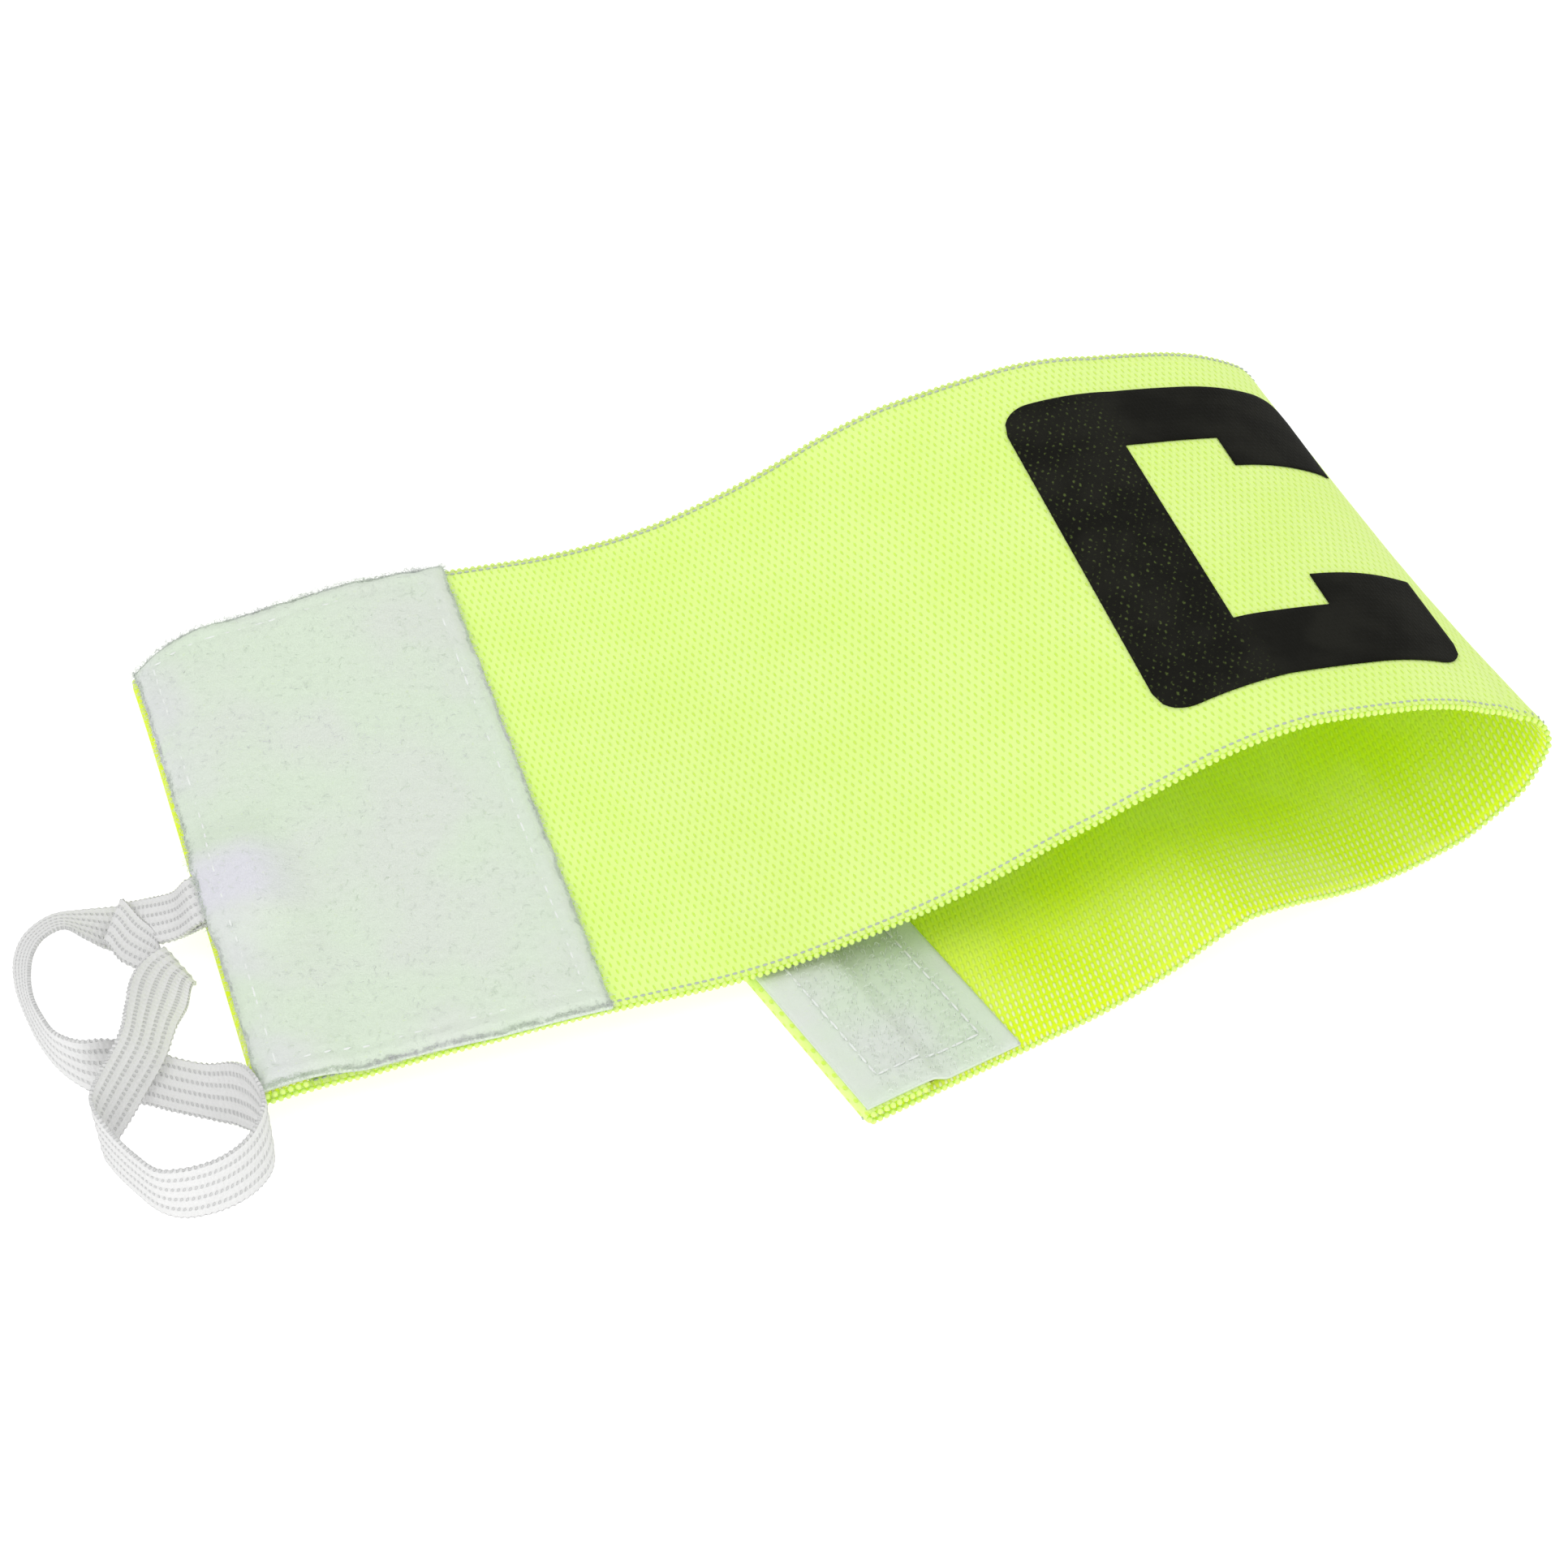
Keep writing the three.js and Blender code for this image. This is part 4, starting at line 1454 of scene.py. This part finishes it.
@dataclass
class TapeLoop:
    """The loop of narrow ribbed elastic, both ends sewn in under the pile patch."""

    lay: Lay
    step: float = 0.24 * MM
    columns: int = 40
    ribs: int = 5
    rib_height: float = 0.22 * MM
    tooth_pitch: float = 0.95 * MM
    tooth_depth: float = 0.3 * MM
    tooth_from: float = 0.9
    knit_share: float = 0.25
    edge_thinning: float = 0.45
    thin_from: float = 0.93
    lead: float = 1.5 * MM
    trials: int = 40
    route_step: int = 4
    cord_size: float = 5.6 * MM

    def edges(self) -> tuple[np.ndarray, np.ndarray]:
        """The rows' two edges, from the lower sewn end round to the upper one."""
        lower = SIZES.outer + SIZES.hem_rise + SIZES.layer_gap + SIZES.tape_thickness / 2
        upper = lower + SIZES.layer_gap + SIZES.tape_thickness
        near = SIZES.tape_place - SIZES.tape_width / 2
        far = SIZES.tape_place + SIZES.tape_width / 2
        places = np.array([SIZES.tape_sewn, SIZES.tape_sewn / 2, 0, -self.lead])
        way_out = self.lay.at(0, SIZES.tape_place, 0)
        exit_place = np.array([way_out[0], way_out[1], self.lay.shift[2]])
        rows = np.array(TAPE_ROWS) * MM
        first, second = rows[:, 0] + exit_place, rows[:, 1] + exit_place
        a = np.vstack([self.lay.at(places, far, lower), first, self.lay.at(places[::-1], near, upper)])
        b = np.vstack([self.lay.at(places, near, lower), second, self.lay.at(places[::-1], far, upper)])
        return a, b

    def build(self) -> bpy.types.Object:
        a, b = self.edges()
        dense = np.linspace(0, 1, self.trials * len(a))
        way_a, way_b = rounded_way(a, dense), rounded_way(b, dense)
        middle = (way_a + way_b) / 2
        lengths = np.concatenate([[0], np.cumsum(np.linalg.norm(np.diff(middle, axis=0), axis=1))])
        total = float(lengths[-1])
        even = spread(0, total, self.step)
        shares = np.interp(even, lengths, dense)
        way_a, way_b = rounded_way(a, shares), rounded_way(b, shares)
        middle = (way_a + way_b) / 2
        across = way_b - way_a
        across /= np.linalg.norm(across, axis=1, keepdims=True)
        out = np.cross(across, np.gradient(middle, axis=0))
        out /= np.linalg.norm(out, axis=1, keepdims=True)
        t = np.linspace(-1, 1, self.columns + 1)
        tooth = 0.5 + 0.5 * np.cos(2 * math.pi * even / self.tooth_pitch)
        rim = smooth_step(np.abs(t), self.tooth_from, 1.0)
        reach = SIZES.tape_width / 2 - self.tooth_depth * tooth[:, None] * rim[None]
        rib = np.abs(np.cos(t * self.ribs * math.pi / 2))
        stagger = 0.5 * np.round(t * self.ribs)[None] / 2
        knit = np.cos(2 * math.pi * (even[:, None] / self.tooth_pitch + stagger))
        knit = 1 - self.knit_share + self.knit_share * knit
        thick = SIZES.tape_thickness / 2 - self.rib_height * rib[None] * knit
        thick = thick * (1 - self.edge_thinning * smooth_step(np.abs(t), self.thin_from, 1.0))[None]
        base = middle[:, None] + across[:, None] * (t[None] * reach)[..., None]
        outer = base - out[:, None] * thick[..., None]
        inner = base + out[:, None] * thick[..., None]
        half_width = SIZES.tape_width / 2
        place = np.stack(np.broadcast_arrays(even[:, None] / MM, t[None] * half_width / MM), -1)
        tape = Grid(outer, inner, place).build("elastic_tape", [TAPE_WEAVE, TAPE_WEAVE, TAPE_WEAVE])
        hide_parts("tape_loop")
        LOG.info("elastic_tape: %.0f mm long", total / MM)
        return tape


@dataclass(frozen=True)
class Lamp:
    """A square soft lamp that faces the object: its place, its side and its power in watts."""

    name: str
    place: tuple[float, float, float]
    size: float
    power: float


@dataclass
class Studio:
    """The pale floor, the soft lights and the camera at the photograph's angle."""

    target: tuple[float, float, float] = (-6.8 * MM, -2.8 * MM, 0.1 * MM)
    distance: float = 574.3 * MM
    elevation: float = 43.1
    azimuth: float = 0.56
    focal_pixels: float = 4452.8
    image_pixels: float = 1932.0
    sensor: float = 36.0
    near_limit: float = 0.01
    floor_size: float = 6.0
    floor_drop: float = 0.05 * MM
    floor_colour: Colour = (0.45, 0.45, 0.45)
    floor_roughness: float = 0.9
    floor_glow: float = 0.75
    world_strength: float = 0.74
    lamps: tuple[Lamp, ...] = (
        Lamp("key_light", (-0.55, -0.35, 1.0), 0.9, 3.7),
        Lamp("front_light", (0.3, -1.1, 0.35), 0.6, 3.4),
        Lamp("back_light", (0.45, 0.8, 0.9), 0.8, 2.0),
    )

    def build(self) -> None:
        """Sets the stage."""
        self._floor()
        self._camera()
        self._lights()

    def _floor(self) -> None:
        """Lays the pale floor just under the lowest cloth."""
        deselect()
        bpy.ops.mesh.primitive_plane_add(size=self.floor_size, location=(0, 0, -self.floor_drop))
        floor = bpy.context.object
        floor.name = "studio_floor"
        material = bpy.data.materials.new("studio_floor")
        material.use_nodes = True
        shader = material.node_tree.nodes["Principled BSDF"]
        shader.inputs["Base Color"].default_value = (*self.floor_colour, 1)
        shader.inputs["Roughness"].default_value = self.floor_roughness
        shader.inputs["Emission Color"].default_value = (1, 1, 1, 1)
        shader.inputs["Emission Strength"].default_value = self.floor_glow
        floor.data.materials.append(material)

    def _camera(self) -> None:
        """Sets the camera by its distance and angles from the target."""
        camera = bpy.data.cameras.new("camera")
        camera.sensor_width = self.sensor
        camera.lens = self.focal_pixels / self.image_pixels * self.sensor
        camera.clip_start = self.near_limit
        holder = bpy.data.objects.new("camera", camera)
        bpy.context.scene.collection.objects.link(holder)
        turn, rise = math.radians(self.azimuth), math.radians(self.elevation)
        away = Vector((math.sin(turn) * math.cos(rise), -math.cos(turn) * math.cos(rise), math.sin(rise)))
        holder.location = Vector(self.target) + away * self.distance
        holder.rotation_euler = away.to_track_quat("Z", "Y").to_euler()
        bpy.context.scene.camera = holder

    def _lights(self) -> None:
        """Adds an even surround and the large soft lamps."""
        world = bpy.data.worlds.new("studio")
        world.use_nodes = True
        world.node_tree.nodes["Background"].inputs["Color"].default_value = (1, 1, 1, 1)
        world.node_tree.nodes["Background"].inputs["Strength"].default_value = self.world_strength
        bpy.context.scene.world = world
        for lamp in self.lamps:
            light = bpy.data.lights.new(lamp.name, "AREA")
            light.size = lamp.size
            light.energy = lamp.power
            holder = bpy.data.objects.new(lamp.name, light)
            holder.location = lamp.place
            holder.rotation_euler = Vector(lamp.place).to_track_quat("Z", "Y").to_euler()
            bpy.context.scene.collection.objects.link(holder)


def lay_on_frame() -> Lay:
    """The band's lay, moved to where the frame holds the hook patch and the band."""
    lay = Lay()
    line = Band(lay).line()
    edge = np.array([-SIZES.band_width / 2, SIZES.band_width / 2])
    points = np.concatenate([
        Band(lay).surface(line[:, None], edge[None], SIZES.outer * sign).reshape(-1, 3) for sign in (1, -1)
    ])
    low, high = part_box("band")
    middle = (np.array(low) + np.array(high)) / 2
    own = (points.min(0) + points.max(0)) / 2
    lay.shift = np.array([middle[0] - own[0], middle[1] - own[1], low[2] - points[:, 2].min()])
    return lay


def main() -> None:
    """Builds the armband's pieces and the studio."""
    logging.basicConfig(level=logging.INFO, format="%(name)s %(message)s")
    bpy.context.scene.view_settings.view_transform = "Standard"
    Studio().build()
    lay = lay_on_frame()
    for piece in (TapeLoop(lay), Band(lay), LoopPatch(lay), HookPatch(lay), LetterPrint(lay)):
        made = piece.build()
        LOG.info("%s: %d faces", made.name, len(made.data.polygons))


if __name__ == "__main__":
    main()
